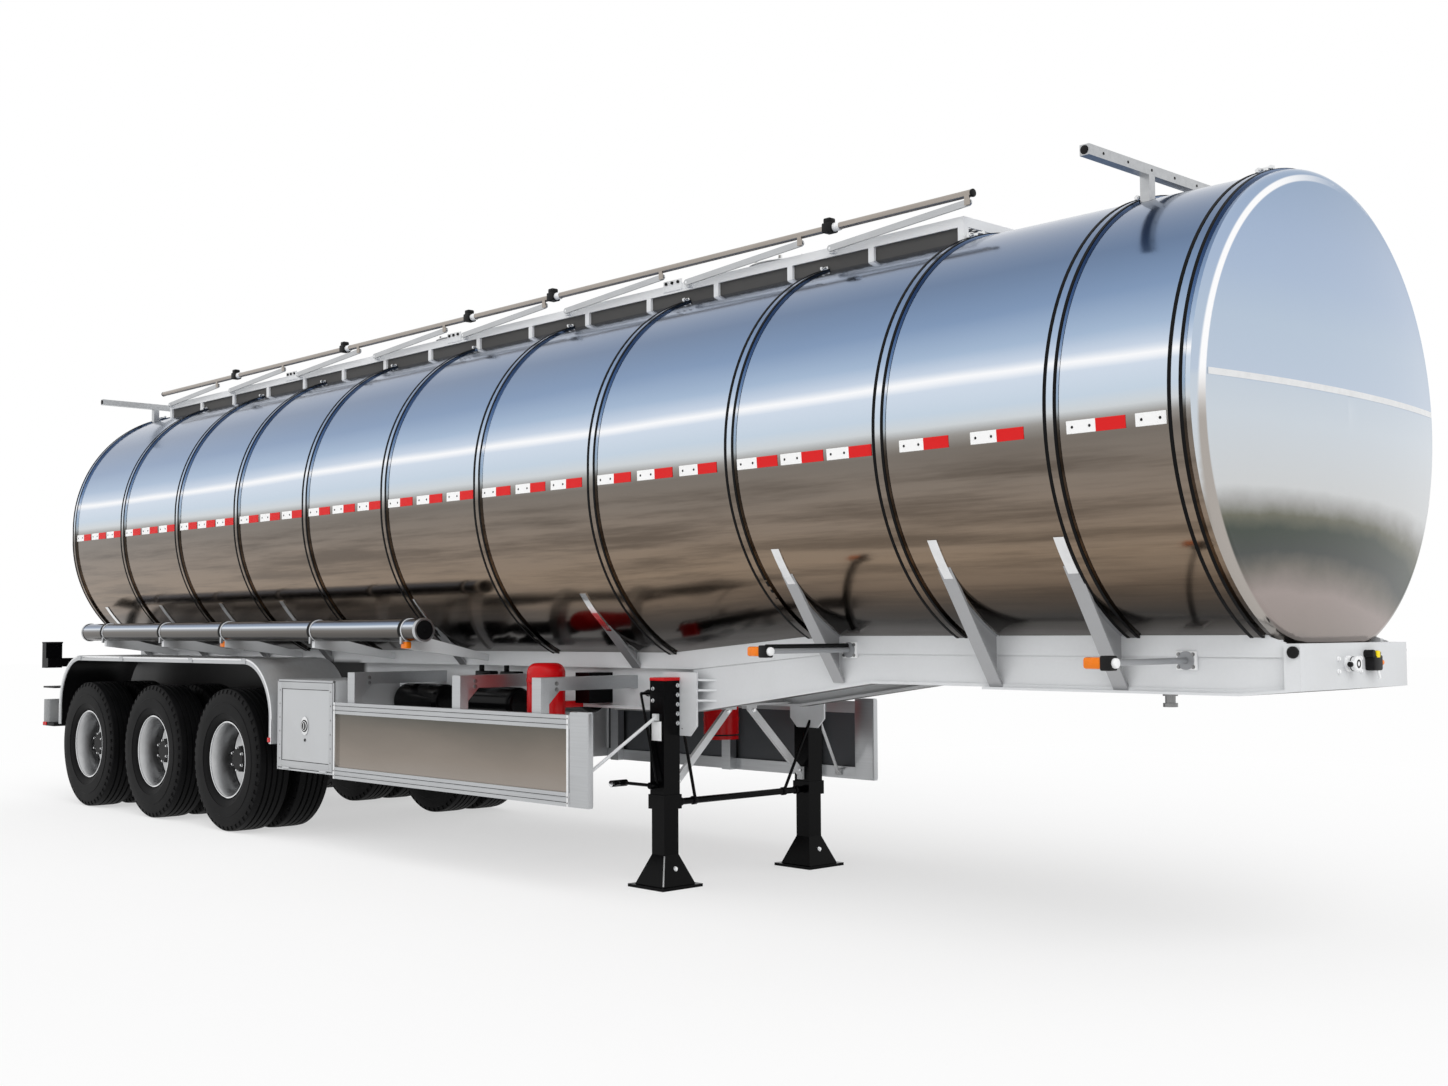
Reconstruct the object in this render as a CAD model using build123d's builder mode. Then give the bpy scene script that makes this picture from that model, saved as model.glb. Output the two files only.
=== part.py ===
from build123d import *
import os
from math import asin, cos, degrees, radians, sin

# Tanker semi-trailer on three axles, parked on its landing legs.
# Millimetres; +X forward, +Y left, +Z up, origin on the ground under the middle.

os.makedirs("parts", exist_ok=True)

# overall
NOSE_X = 5990.0
FITTING_REACH = 50.0
REAR_END = -NOSE_X - FITTING_REACH
SEAT = 0.3

# tank
TANK_R = 1115.0
TANK_SINK = 33.0
FLAT_REAR = 100.0
FLAT_FRONT = 1.0
TANK_REAR = -5650.0
TANK_FRONT = 5850.0
HEAD_KNUCKLE = 50.0
HEAD_CROWN = 85.0
HEAD_REAR = 68.0
RING_WIDTH = 70.0
RING_THICK = 10.0
RING_ROOM = 2.0
RING_X = (-5610, -4559, -3492, -2453, -1386, -307, 798, 1952, 3118, 4162, 5163, 5785)
CONE_REAR = RING_X[7]
CONE_FRONT = RING_X[8]
SIDE_MARGIN = 125.0
HALF_WIDTH = TANK_R + SIDE_MARGIN

# main beams
BEAM_Y = 443.0
BEAM_FLANGE = 100.0
FLANGE_THICK = 16.0
WEB_THICK = 14.0
BEAM_REAR = -5900.0
BEAM_FRONT = 5915.0
TOP_REAR = 1298.0
TOP_FRONT = 1398.0
BOTTOM_REAR = 1028.0
BOTTOM_FRONT = 1224.0
SLOPE_TOP = (2129.0, 3271.0)
SLOPE_BOTTOM = (2147.0, 3548.0)
SADDLE_RISE = 130.0
SIDE_PLATE_Y = 485.0
STOP_X = (5822.0, 5890.0)
STOP_THICK = 20.0
STOP_RISE = 60.0
STOP_NOTCH = 28.0
TANK_Z = TOP_FRONT + TANK_R - TANK_SINK
TANK_TOP = TANK_Z + TANK_R

# coupler nose and kingpin
SKID_THICK = 12.0
SKID_REAR = 4300.0
RAMP_X = 5700.0
NOSE_BOTTOM = 1251.0
NOSE_TOP = 1442.0
NOSE_HALF = 513.0
KINGPIN_X = 5050.0
KINGPIN_COLLAR_R = 36.5
KINGPIN_NECK_R = 25.4
KINGPIN_HEAD_R = 35.7
KINGPIN_STEPS = (30.0, 35.0, 19.0)

# cross members
CROSS_X = (-5000, -3690, -2380, -1250, -200, 900, 2018)
CROSS_FRONT_X = (3500, 4420)
CROSS_WIDTH = 80.0
CROSS_WALL = 12.0
CROSS_TANK_GAP = 14.0

# cradle gussets: x, angle of the tip from straight down
CRADLES_REAR = ((-5337, 53), (-4208, 53), (-3093, 53), (-2084, 53), (-270, 52), (1613, 52))
CRADLES_FRONT = ((3313, 58), (4373, 58), (5092, 57))
CRADLE_PLATE = 12.0
CRADLE_STRIP = 80.0
STRIP_THICK = 8.0
STRIP_SHARE = 0.88

# landing legs
LEG_X = 2018.0
LEG_Y = 616.0
LEG_TUBE = 125.0
LEG_INNER = 112.0
LEG_TOP = 1223.0
LEG_OUTER_BOTTOM = 458.0
LEG_COLLAR = 85.0
COLLAR_RIM = 8.0
FOOT_SIZE = 315.0
FOOT_PLATE = 18.0
FOOT_TOP = 190.0
FOOT_SHARE = 0.8
LEG_BRACKET = 176.0
LEG_PLATE = 12.0
LEG_PLATE_X = (1930.0, 2230.0)
LEG_PLATE_Z = (889.0, 1265.0)
LEG_PLATE_CORNER = 60.0
RIB_X = (2160.0, 2330.0)
RIB_Z = (1100.0, 1160.0, 1220.0)
SHAFT_R = 20.0
SHAFT_Z = 490.0
BRACE_R = 22.0
BRACE_TAB = 20.0
BRACE_FOOT_Z = (555.0, 635.0)
STAY_R = 10.0
STAY_TAB = 20.0
STAY_TOP = 1000.0
STAY_FOOT = (1750.0, 545.0)
CRANK_REACH = 260.0
CRANK_Z = 600.0

# axles and wheels
REAR_AXLE_X = -5000.0
AXLE_PITCH = 1310.0
AXLE_X = tuple(REAR_AXLE_X + AXLE_PITCH * i for i in range(3))
TYRE_R = 545.0
TYRE_WIDTH = 290.0
TWIN_Y = 925.0
TWIN_OFFSET = 170.0
# tyre side: how far inside the full width, share of the way from rim to tread
TYRE_SIDE = ((12.0, 0.12), (0.0, 0.43), (8.0, 0.73), (40.0, 0.976), (60.0, 1.0))
RIM_FLANGE_R = 290.0
RIM_SEAT_R = 254.0
RIM_HALF = 110.0
RIM_WALL = 12.0
DISC_FACE = 12.0
DISC_R = 172.0
HUB_R = 135.0
HUB_INNER = 640.0
HUB_OUTER = 1035.0
HUB_CHAMFER = 40.0
HUB_CAP_ROOM = 5.0
SPINDLE_R = 42.0
SPINDLE_END = 1000.0
DRUM_R = 205.0
DRUM_WALL = 15.0
AXLE_R = 64.0
AXLE_END = 615.0

# suspension
SPRING_Y = BEAM_Y
SPRING_WIDTH = 90.0
SPRING_THICK = 22.0
SPRING_LEAVES = 4
SPRING_END_GAP = 15.0
SPRING_HALF = AXLE_PITCH / 2 - SPRING_END_GAP
HANGER_WIDTH = 120.0
HANGER_PLATE = 12.0
HANGER_DROP = 330.0
HANGER_FLARE = 1.6

# fenders
FENDER_X = (-5600.0, -1630.0)
FENDER_BOTTOM = 700.0
FENDER_TOP = 1318.0
FENDER_INNER_Y = 600.0
FENDER_THICK = 8.0
FENDER_RADIUS = 440.0
FENDER_LIP = 40.0

# toolboxes
BOX_X = (-1558.0, -759.0)
BOX_Z = (525.0, 1175.0)
BOX_INNER_Y = 700.0
BOX_WALL = 12.0
DOOR_THICK = 22.0
DOOR_GAP = 5.0
BOX_INSET = 12.0
BOX_FACE_Y = HALF_WIDTH - BOX_INSET
HINGE_R = 8.0
HINGE_PIN_R = 4.0
HINGE_FIT = 0.05
HINGE_KNUCKLE = 30.0
HINGE_INSET = 120.0
LATCH = (45.0, 62.0, 4.0)

# side guards
GUARD_X = (-745.0, 2069.0)
GUARD_Z = (505.0, 1030.0)
GUARD_RAIL = 80.0
GUARD_DEPTH = 40.0
GUARD_PANEL = 6.0
GUARD_POST = 100.0
GUARD_POST_RISE = 20.0
OUTRIGGER_X = (-583.0, 690.0, 1530.0)
OUTRIGGER_WIDTH = 90.0
OUTRIGGER_DEPTH = 60.0
OUTRIGGER_TOP = 1237.0
OUTRIGGER_ARM = 80.0
OUTRIGGER_GUSSET = 110.0

# hose tubes
HOSE_X = (-5230.0, 200.0)
HOSE_INSET = 120.0
HOSE_Y = HALF_WIDTH - HOSE_INSET
HOSE_Z = 1525.0
HOSE_R = 75.0
STRAP_X = (-4800.0, -3650.0, -2560.0, -1180.0, 20.0)
STRAP_WIDTH = 40.0
STRAP_THICK = 5.0
ARM_DEPTH = 42.0

# under the frame
# air tanks: rear end, front end, radius, height
AIR_TANKS = ((-745.0, -215.0, 125.0, 1025.0), (30.0, 630.0, 107.0, 1039.0))
AIR_TANK_Y = 650.0
VALVE_BOX_X = (1190.0, 1330.0)
VALVE_BOX_Y = 640.0
VALVE_BOX_Z = (1060.0, 1252.0)
EXTINGUISHER_R = 122.0
EXTINGUISHER_X = 1044.0
EXTINGUISHER_Y = 760.0
EXTINGUISHER_Z = (760.0, 1313.0)

# rear end
BUMPER_Z = (670.0, 910.0)
BUMPER_SHORT = 20.0
BUMPER_DEPTH = 100.0
BUMPER_FOOT = 120.0
BUMPER_HANGER = 40.0
LAMP_BOX_Y = (1085.0, 1235.0)
LAMP_BOX_Z = (1200.0, 1430.0)
LAMP_BOX_DEPTH = 90.0
LAMP_BAR = 80.0
LAMP_BAR_RISE = 10.0
PIPE_X = -5450.0
PIPE_R = 55.0
PIPE_Z = 1000.0
PIPE_SINK = 40.0
PIPE_VALVE_R = 82.0
PIPE_VALVE = (130.0, 250.0)
PIPE_FLANGE_R = 110.0
PIPE_FLANGE_THICK = 24.0
PIPE_FLANGE_PCD = 180.0
PIPE_FLANGE_HOLES = 8
PIPE_FLANGE_HOLE_R = 9.0
LADDER_Y = 380.0
LADDER_WIDTH = 400.0
LADDER_R = 19.0
LADDER_STEP = 300.0
LADDER_BEND = 200.0
LADDER_REST = 200.0
RUNG_SHARE = 0.8

# roof
WALK_X = (-5270.0, 4120.0)
WALK_HALF = 380.0
DECK_RISE = 22.0
DECK_Z = TANK_TOP + DECK_RISE
DECK_THICK = 8.0
CURB_HEIGHT = 45.0
CURB_THICK = 10.0
POST_PITCH = 593.0
POST_SIZE = 40.0
POST_SINK = 100.0
MANHOLE_X = (2540.0, -846.0, -4025.0)
MANHOLE_R = 270.0
MANHOLE_SINK = 100.0
MANHOLE_ROOM = 1.0
MANHOLE_RISE = 50.0
MANHOLE_TOP = DECK_Z + MANHOLE_RISE
LID_R = 295.0
LID_THICK = 30.0
LID_DOME = 35.0
LID_HINGE = 30.0
HINGE_EAR = 14.0
HINGE_EAR_Y = (20.0, 60.0)
HINGE_TONGUE = 16.0
TONGUE_ROOM = 2.0
TONGUE_REACH = (10.0, 20.0)
RAIL_Y = -420.0
RAIL_R = 20.0
STRUT_LENGTH = 980.0
STRUT_FOLD = 4.0
PIVOT_RISE = 28.0
STRUT_PIVOT_Z = DECK_Z + PIVOT_RISE
STRUT_FRONT_X = 3208.0
STRUT_PITCH = 1200.0
STRUT_COUNT = 8
STRUT_HEIGHT = 36.0
STRUT_THICK = 12.0
PIVOT_R = 8.0
PIVOT_HALF = 18.0
PIVOT_DROP = 26.0
RAIL_RISE = 45.0
RAIL_REAR = -5330.0
RAIL_OVER = 30.0
LUG_GAP = 4.0
LUG_THICK = 8.0
LUG_HALF = 16.0
BAR_X = (5226.0, -5545.0)
BAR_HALF = 915.0
BAR_SIZE = 50.0
BAR_POST_Y = 400.0
BAR_SINK = 120.0
BAR_RISE = 40.0
BAR_Z = TANK_TOP + BAR_RISE

# lamps and nose fittings
# marker lamps: along, height
MARKER_LAMPS = ((5440.0, 1365.0), (3400.0, 1403.0))
LAMP_ARM_R = 14.0
LAMP_ARM_SHORT = 80.0
LAMP_BOSS = 30.0
LAMP_HALF = 60.0
LAMP_DEPTH = 40.0
LAMP_HEIGHT = 44.0
# couplings on the nose: across, height, radius
COUPLINGS = ((-76.0, 1350.0, 38.0), (128.0, 1356.0, 42.0))
CORNER_RUBBER = (5960.0, 1405.0, 24.0)
RUBBER_REACH = 18.0


def block(x0, x1, y0, y1, z0, z1, mode=Mode.ADD):
    """A box between two corners."""
    with Locations(((x0 + x1) / 2, (y0 + y1) / 2, (z0 + z1) / 2)):
        Box(abs(x1 - x0), abs(y1 - y0), abs(z1 - z0), mode=mode)


def rod(start, end, radius, mode=Mode.ADD):
    """A round bar between two points."""
    way = Vector(*end) - Vector(*start)
    with BuildSketch(Plane(origin=start, z_dir=way)) as disc:
        Circle(radius)
    extrude(disc.sketch, amount=way.length, mode=mode)


def outline(points, plane, thickness, mode=Mode.ADD):
    """A plate: a polygon on a plane, pushed half its thickness each way."""
    with BuildSketch(plane) as face:
        with BuildLine():
            Polyline(*points, close=True)
        make_face()
    extrude(face.sketch, amount=thickness / 2, both=True, mode=mode)


def flat_at(x):
    """Height of the tank's straight sides, which the cone brings down to none."""
    share = min(max((x - CONE_REAR) / (CONE_FRONT - CONE_REAR), 0.0), 1.0)
    return FLAT_REAR + share * (FLAT_FRONT - FLAT_REAR)


def tank_section(x, radius):
    """The tank's outline across the trailer."""
    flat = flat_at(x)
    with BuildSketch(Plane.YZ.offset(x)) as face:
        with BuildLine():
            CenterArc((0, TANK_Z), radius, 0, 180)
            Line((-radius, TANK_Z), (-radius, TANK_Z - flat))
            CenterArc((0, TANK_Z - flat), radius, 180, 180)
            Line((radius, TANK_Z - flat), (radius, TANK_Z))
        make_face()
    return face.sketch


def barrel(radius):
    """The barrel between the two heads: deep behind, a cone, round in front."""
    with BuildPart() as shape:
        extrude(tank_section(TANK_REAR, radius), amount=CONE_REAR - TANK_REAR)
        loft([tank_section(CONE_REAR, radius), tank_section(CONE_FRONT, radius)], ruled=True)
        extrude(tank_section(CONE_FRONT, radius), amount=TANK_FRONT - CONE_FRONT)
    return shape.part


def save(builder, name):
    builder.part.label = name
    export_step(builder.part, f"parts/{name}.step")


# tank
tank_space = barrel(TANK_R + SEAT)

with BuildPart() as ring_room:
    for x in RING_X:
        room = RING_WIDTH / 2 + RING_ROOM
        extrude(tank_section(x - room, TANK_R + RING_THICK + 2 * SEAT), amount=2 * room)
ring_space = ring_room.part

with BuildPart() as tank_barrel:
    add(barrel(TANK_R))
save(tank_barrel, "tank_barrel")

crown_half = TANK_R - HEAD_KNUCKLE
crown_radius = (crown_half**2 + HEAD_CROWN**2) / (2 * HEAD_CROWN)
crown_angle = degrees(asin(crown_half / crown_radius))
crown_x = TANK_FRONT + HEAD_KNUCKLE + HEAD_CROWN

with BuildPart() as tank_heads:
    with BuildSketch(Plane.XZ) as half_head:
        with BuildLine():
            Line((TANK_FRONT, TANK_Z), (TANK_FRONT, TANK_Z + TANK_R))
            CenterArc((TANK_FRONT, TANK_Z + crown_half), HEAD_KNUCKLE, 0, 90)
            CenterArc((crown_x - crown_radius, TANK_Z), crown_radius, 0, crown_angle)
            Line((crown_x, TANK_Z), (TANK_FRONT, TANK_Z))
        make_face()
    revolve(axis=Axis((0, 0, TANK_Z), (1, 0, 0)))
    extrude(tank_section(TANK_REAR, TANK_R), amount=-HEAD_REAR)
    fillet(tank_heads.faces().sort_by(Axis.X)[0].edges(), HEAD_KNUCKLE)
save(tank_heads, "tank_heads")

with BuildPart() as tank_rings:
    for x in RING_X:
        extrude(tank_section(x - RING_WIDTH / 2, TANK_R + SEAT + RING_THICK), amount=RING_WIDTH)
    for x in RING_X:
        extrude(tank_section(x - RING_WIDTH / 2, TANK_R + SEAT), amount=RING_WIDTH, mode=Mode.SUBTRACT)
save(tank_rings, "tank_rings")

# main beams with the gooseneck's side plate and the stops at the tank's front
ramp_rise = (NOSE_BOTTOM - BOTTOM_FRONT) / (NOSE_X - RAMP_X)
beam_tip = BOTTOM_FRONT + ramp_rise * (BEAM_FRONT - RAMP_X)
top_line = [
    (BEAM_REAR, TOP_REAR), (SLOPE_TOP[0], TOP_REAR),
    (SLOPE_TOP[1], TOP_FRONT), (BEAM_FRONT, TOP_FRONT),
]
bottom_line = [
    (BEAM_REAR, BOTTOM_REAR), (SLOPE_BOTTOM[0], BOTTOM_REAR),
    (SLOPE_BOTTOM[1], BOTTOM_FRONT), (RAMP_X, BOTTOM_FRONT), (BEAM_FRONT, beam_tip),
]


def raised(line, rise):
    return [(x, z + rise) for x, z in line]


beam_plane = Plane.XZ.offset(-BEAM_Y)
saddle_line = [(TANK_REAR + RING_WIDTH, TOP_REAR)] + top_line[1:3] + [(RAMP_X, TOP_FRONT)]
with BuildPart() as main_beams:
    outline(top_line + bottom_line[::-1], beam_plane, WEB_THICK)
    outline(top_line + raised(top_line, -FLANGE_THICK)[::-1], beam_plane, BEAM_FLANGE)
    outline(bottom_line + raised(bottom_line, FLANGE_THICK)[::-1], beam_plane, BEAM_FLANGE)
    outline(saddle_line + raised(saddle_line, SADDLE_RISE)[::-1], beam_plane, BEAM_FLANGE)
    plate_plane = Plane.XZ.offset(-(BEAM_Y + SIDE_PLATE_Y) / 2)
    outline(top_line[1:] + bottom_line[:0:-1], plate_plane, SIDE_PLATE_Y - BEAM_Y)
    stop = [
        (STOP_X[0], TOP_FRONT), (STOP_X[1], TOP_FRONT), (STOP_X[1], TOP_FRONT + STOP_RISE),
        (STOP_X[0] + STOP_NOTCH, TOP_FRONT + STOP_RISE), (STOP_X[0], TOP_FRONT + STOP_RISE - STOP_NOTCH),
    ]
    outline(stop, Plane.XZ.offset(-SIDE_PLATE_Y + STOP_THICK / 2), STOP_THICK)
    mirror(about=Plane.XZ)
    add([tank_space, ring_space], mode=Mode.SUBTRACT)
save(main_beams, "main_beams")

# cross members: channels between the webs
cross_half = BEAM_Y - WEB_THICK / 2
with BuildPart() as cross_members:
    for x_list, bottom, flat in (
        (CROSS_X, BOTTOM_REAR, FLAT_REAR),
        (CROSS_FRONT_X, BOTTOM_FRONT, FLAT_FRONT),
    ):
        low = bottom + FLANGE_THICK
        high = TANK_Z - flat - TANK_R - CROSS_TANK_GAP
        for x in x_list:
            left = x - CROSS_WIDTH / 2
            block(left, x + CROSS_WIDTH / 2, -cross_half, cross_half, low, high)
            block(
                left + CROSS_WALL, x + CROSS_WIDTH / 2, -cross_half, cross_half,
                low + CROSS_WALL, high - CROSS_WALL, mode=Mode.SUBTRACT,
            )
save(cross_members, "cross_members")

# coupler nose: skid plate, ramp and the box across the front
with BuildPart() as coupler_nose:
    skid_top = [(SKID_REAR, BOTTOM_FRONT), (RAMP_X, BOTTOM_FRONT), (NOSE_X, NOSE_BOTTOM)]
    outline(skid_top + raised(skid_top, -SKID_THICK)[::-1], Plane.XZ, 2 * NOSE_HALF)
    box_front = [
        (BEAM_FRONT, beam_tip), (BEAM_FRONT, NOSE_TOP),
        (NOSE_X, NOSE_TOP), (NOSE_X, NOSE_BOTTOM),
    ]
    outline(box_front, Plane.XZ, 2 * NOSE_HALF)
save(coupler_nose, "coupler_nose")

pin_top = BOTTOM_FRONT - SKID_THICK
with BuildPart() as kingpin:
    pin_z = pin_top
    for radius, height in zip((KINGPIN_COLLAR_R, KINGPIN_NECK_R, KINGPIN_HEAD_R), KINGPIN_STEPS):
        rod((KINGPIN_X, 0, pin_z), (KINGPIN_X, 0, pin_z - height), radius)
        pin_z -= height
save(kingpin, "kingpin")

# cradle gussets under the tank, with the strip that lies along it
with BuildPart() as cradles:
    for table, foot_z, flat in (
        (CRADLES_REAR, TOP_REAR - FLANGE_THICK, FLAT_REAR),
        (CRADLES_FRONT, BOTTOM_FRONT, FLAT_FRONT),
    ):
        centre_z = TANK_Z - flat
        foot_y = BEAM_Y + BEAM_FLANGE / 2
        for x, angle in table:
            tip = (TANK_R * sin(radians(angle)), centre_z - TANK_R * cos(radians(angle)))
            plane = Plane.YZ.offset(x)
            plate = [(foot_y, foot_z), (foot_y, centre_z - TANK_R / 2), tip]
            outline(plate, plane, CRADLE_PLATE)
            end_y = foot_y + STRIP_SHARE * (tip[0] - foot_y)
            end_z = foot_z + STRIP_SHARE * (tip[1] - foot_z)
            edge = [
                (foot_y, foot_z), (end_y, end_z),
                (end_y - 2 * STRIP_THICK, end_z), (foot_y, foot_z + 3 * STRIP_THICK),
            ]
            outline(edge, plane, CRADLE_STRIP)
    mirror(about=Plane.XZ)
    add([tank_space, ring_space], mode=Mode.SUBTRACT)
save(cradles, "cradles")

# landing legs
leg_half = LEG_TUBE / 2
with BuildPart() as leg_tubes:
    for y in (LEG_Y, -LEG_Y):
        for half, top in ((leg_half, LEG_TOP), (leg_half + COLLAR_RIM, LEG_OUTER_BOTTOM + LEG_COLLAR)):
            block(LEG_X - half, LEG_X + half, y - half, y + half, LEG_OUTER_BOTTOM, top)
save(leg_tubes, "leg_tubes")

with BuildPart() as leg_feet:
    for y in (LEG_Y, -LEG_Y):
        with Locations((LEG_X, y, 0)):
            Box(FOOT_SIZE, FOOT_SIZE, FOOT_PLATE, align=(Align.CENTER, Align.CENTER, Align.MIN))
        with BuildSketch(Plane.XY.offset(FOOT_PLATE)) as base:
            with Locations((LEG_X, y)):
                Rectangle(FOOT_SHARE * FOOT_SIZE, FOOT_SHARE * FOOT_SIZE)
        with BuildSketch(Plane.XY.offset(FOOT_TOP)) as neck:
            with Locations((LEG_X, y)):
                Rectangle(LEG_INNER, LEG_INNER)
        loft([base.sketch, neck.sketch], ruled=True)
        half = LEG_INNER / 2
        block(LEG_X - half, LEG_X + half, y - half, y + half, FOOT_TOP, LEG_OUTER_BOTTOM)
save(leg_feet, "leg_feet")

leg_inside = LEG_Y - leg_half
leg_outside = LEG_Y + leg_half
with BuildPart() as leg_shaft:
    shaft_end = leg_inside - COLLAR_RIM
    rod((LEG_X, -shaft_end, SHAFT_Z), (LEG_X, shaft_end, SHAFT_Z), SHAFT_R)
    crank_y = -leg_outside - 3 * SHAFT_R
    arm_y = crank_y + SHAFT_R
    grip_x = LEG_X - CRANK_REACH
    rod((LEG_X, -leg_outside, CRANK_Z), (LEG_X, crank_y, CRANK_Z), SHAFT_R)
    rod((LEG_X, arm_y, CRANK_Z), (grip_x, arm_y, CRANK_Z), SHAFT_R / 2)
    rod((grip_x, arm_y + SHAFT_R, CRANK_Z), (grip_x, crank_y - 4 * SHAFT_R, CRANK_Z), SHAFT_R)
save(leg_shaft, "leg_shaft")

beam_outside = BEAM_Y + BEAM_FLANGE / 2
web_outside = BEAM_Y + WEB_THICK / 2
plate_inside = leg_inside - LEG_PLATE
with BuildPart() as leg_braces:
    block(
        LEG_X - LEG_BRACKET / 2, LEG_X + LEG_BRACKET / 2,
        beam_outside, plate_inside, BOTTOM_REAR, LEG_TOP - BRACE_TAB,
    )
    (rear, front), (low, high) = LEG_PLATE_X, LEG_PLATE_Z
    leg_plate = [
        (rear, high), (front, high), (front, low + LEG_PLATE_CORNER), (front - LEG_PLATE_CORNER, low),
        (rear + LEG_PLATE_CORNER, low), (rear, low + LEG_PLATE_CORNER),
    ]
    outline(leg_plate, Plane.XZ.offset(-(plate_inside + leg_inside) / 2), LEG_PLATE)
    for z in RIB_Z:
        rib = [
            (RIB_X[0], SIDE_PLATE_Y), (RIB_X[1], SIDE_PLATE_Y),
            (front, plate_inside), (RIB_X[0] - LEG_PLATE_CORNER, plate_inside),
        ]
        outline(rib, Plane.XY.offset(z), LEG_PLATE)
    tab_z = BOTTOM_REAR + FLANGE_THICK
    block(LEG_X - BRACE_R, LEG_X + BRACE_R, leg_inside - BRACE_TAB, leg_inside, *BRACE_FOOT_Z)
    block(LEG_X - BRACE_R, LEG_X + BRACE_R, 2 * BRACE_R, 6 * BRACE_R, tab_z - BRACE_TAB, tab_z)
    brace_foot = (LEG_X, leg_inside - BRACE_TAB / 2, sum(BRACE_FOOT_Z) / 2)
    rod(brace_foot, (LEG_X, 4 * BRACE_R, tab_z - BRACE_TAB / 2), BRACE_R / 2)
    rail_inside = HALF_WIDTH - GUARD_DEPTH
    stay_top = (LEG_X, leg_outside + STAY_TAB / 2, STAY_TOP)
    stay_foot = (STAY_FOOT[0], rail_inside - STAY_TAB / 2, STAY_FOOT[1])
    rod(stay_top, stay_foot, STAY_R)
    for x, y, z in (stay_top, stay_foot):
        block(
            x - STAY_TAB, x + STAY_TAB, y - STAY_TAB / 2, y + STAY_TAB / 2,
            z - STAY_TAB, z + STAY_TAB,
        )
    mirror(about=Plane.XZ)
save(leg_braces, "leg_braces")

# running gear
with BuildPart() as axle_beams:
    for x in AXLE_X:
        rod((x, -AXLE_END, TYRE_R), (x, AXLE_END, TYRE_R), AXLE_R)
        rod((x, -SPINDLE_END, TYRE_R), (x, SPINDLE_END, TYRE_R), SPINDLE_R - SEAT)
        for y in (SPRING_Y, -SPRING_Y):
            block(
                x - SPRING_WIDTH / 2, x + SPRING_WIDTH / 2, y - SPRING_WIDTH / 2, y + SPRING_WIDTH / 2,
                TYRE_R, TYRE_R + AXLE_R + SPRING_THICK,
            )
save(axle_beams, "axle_beams")

spring_seat = TYRE_R + AXLE_R + SPRING_THICK
spring_top = spring_seat + SPRING_LEAVES * SPRING_THICK
with BuildPart() as leaf_springs:
    for x in AXLE_X:
        for y in (SPRING_Y, -SPRING_Y):
            for leaf in range(SPRING_LEAVES):
                reach = SPRING_HALF * (leaf + 1) / SPRING_LEAVES
                low = spring_seat + leaf * SPRING_THICK
                block(
                    x - reach, x + reach, y - SPRING_WIDTH / 2, y + SPRING_WIDTH / 2,
                    low, low + SPRING_THICK,
                )
save(leaf_springs, "leaf_springs")

hanger_x = [AXLE_X[0] - AXLE_PITCH / 2] + [x + AXLE_PITCH / 2 for x in AXLE_X]
with BuildPart() as spring_hangers:
    for x in hanger_x:
        for y in (SPRING_Y, -SPRING_Y):
            half = HANGER_WIDTH / 2
            for inner in (y - half, y + half - HANGER_PLATE):
                with BuildSketch(Plane.XZ.offset(-inner)) as cheek:
                    with BuildLine():
                        Polyline(
                            (x - HANGER_FLARE * half, BOTTOM_REAR), (x + HANGER_FLARE * half, BOTTOM_REAR),
                            (x + half, BOTTOM_REAR - HANGER_DROP), (x - half, BOTTOM_REAR - HANGER_DROP),
                            close=True,
                        )
                    make_face()
                extrude(cheek.sketch, amount=-HANGER_PLATE)
            block(
                x - HANGER_FLARE * half, x + HANGER_FLARE * half, y - half, y + half,
                BOTTOM_REAR - HANGER_PLATE, BOTTOM_REAR,
            )
            rail_z = spring_top + HANGER_PLATE
            block(x - HANGER_FLARE * half, x + HANGER_FLARE * half, y - half, y + half, spring_top, rail_z)
save(spring_hangers, "spring_hangers")


def wheel_profile(y_out):
    """Half sections of one twin wheel, as (across, radius) outlines; y_out is +1 or -1."""
    inner = TWIN_OFFSET - RIM_HALF
    outer = TWIN_OFFSET + RIM_HALF
    bed = RIM_SEAT_R - RIM_WALL
    rim = [
        (inner, RIM_FLANGE_R), (inner, bed), (outer, bed), (outer, RIM_FLANGE_R),
        (outer - RIM_WALL, RIM_FLANGE_R), (outer - RIM_WALL, RIM_SEAT_R),
        (inner + RIM_WALL, RIM_SEAT_R), (inner + RIM_WALL, RIM_FLANGE_R),
    ]
    disc = [
        (inner, bed + RIM_WALL / 2), (inner + 2 * RIM_WALL, bed + RIM_WALL / 2),
        (2 * DISC_FACE, DISC_R), (2 * DISC_FACE, HUB_R / 2), (0, HUB_R / 2), (0, DISC_R),
    ]
    mirrored = [[(-a, r) for a, r in shape] for shape in (rim, disc)]
    hub_in = HUB_INNER - TWIN_Y
    hub_out = HUB_OUTER - TWIN_Y
    cap_in = SPINDLE_END - TWIN_Y + HUB_CAP_ROOM
    hub = [
        (hub_in, SPINDLE_R), (hub_in, HUB_R), (hub_out - HUB_CHAMFER, HUB_R), (hub_out, HUB_R - HUB_CHAMFER),
        (hub_out, 0), (cap_in, 0), (cap_in, SPINDLE_R),
    ]
    drum = [
        (hub_in, DRUM_R - DRUM_WALL), (hub_in, DRUM_R), (-2 * DISC_FACE, DRUM_R),
        (-2 * DISC_FACE, HUB_R / 2), (-2 * DISC_FACE - DRUM_WALL, HUB_R / 2),
        (-2 * DISC_FACE - DRUM_WALL, DRUM_R - DRUM_WALL),
    ]
    return [[(y_out * (TWIN_Y + a), r) for a, r in shape] for shape in [rim, disc, *mirrored, hub, drum]]


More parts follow.
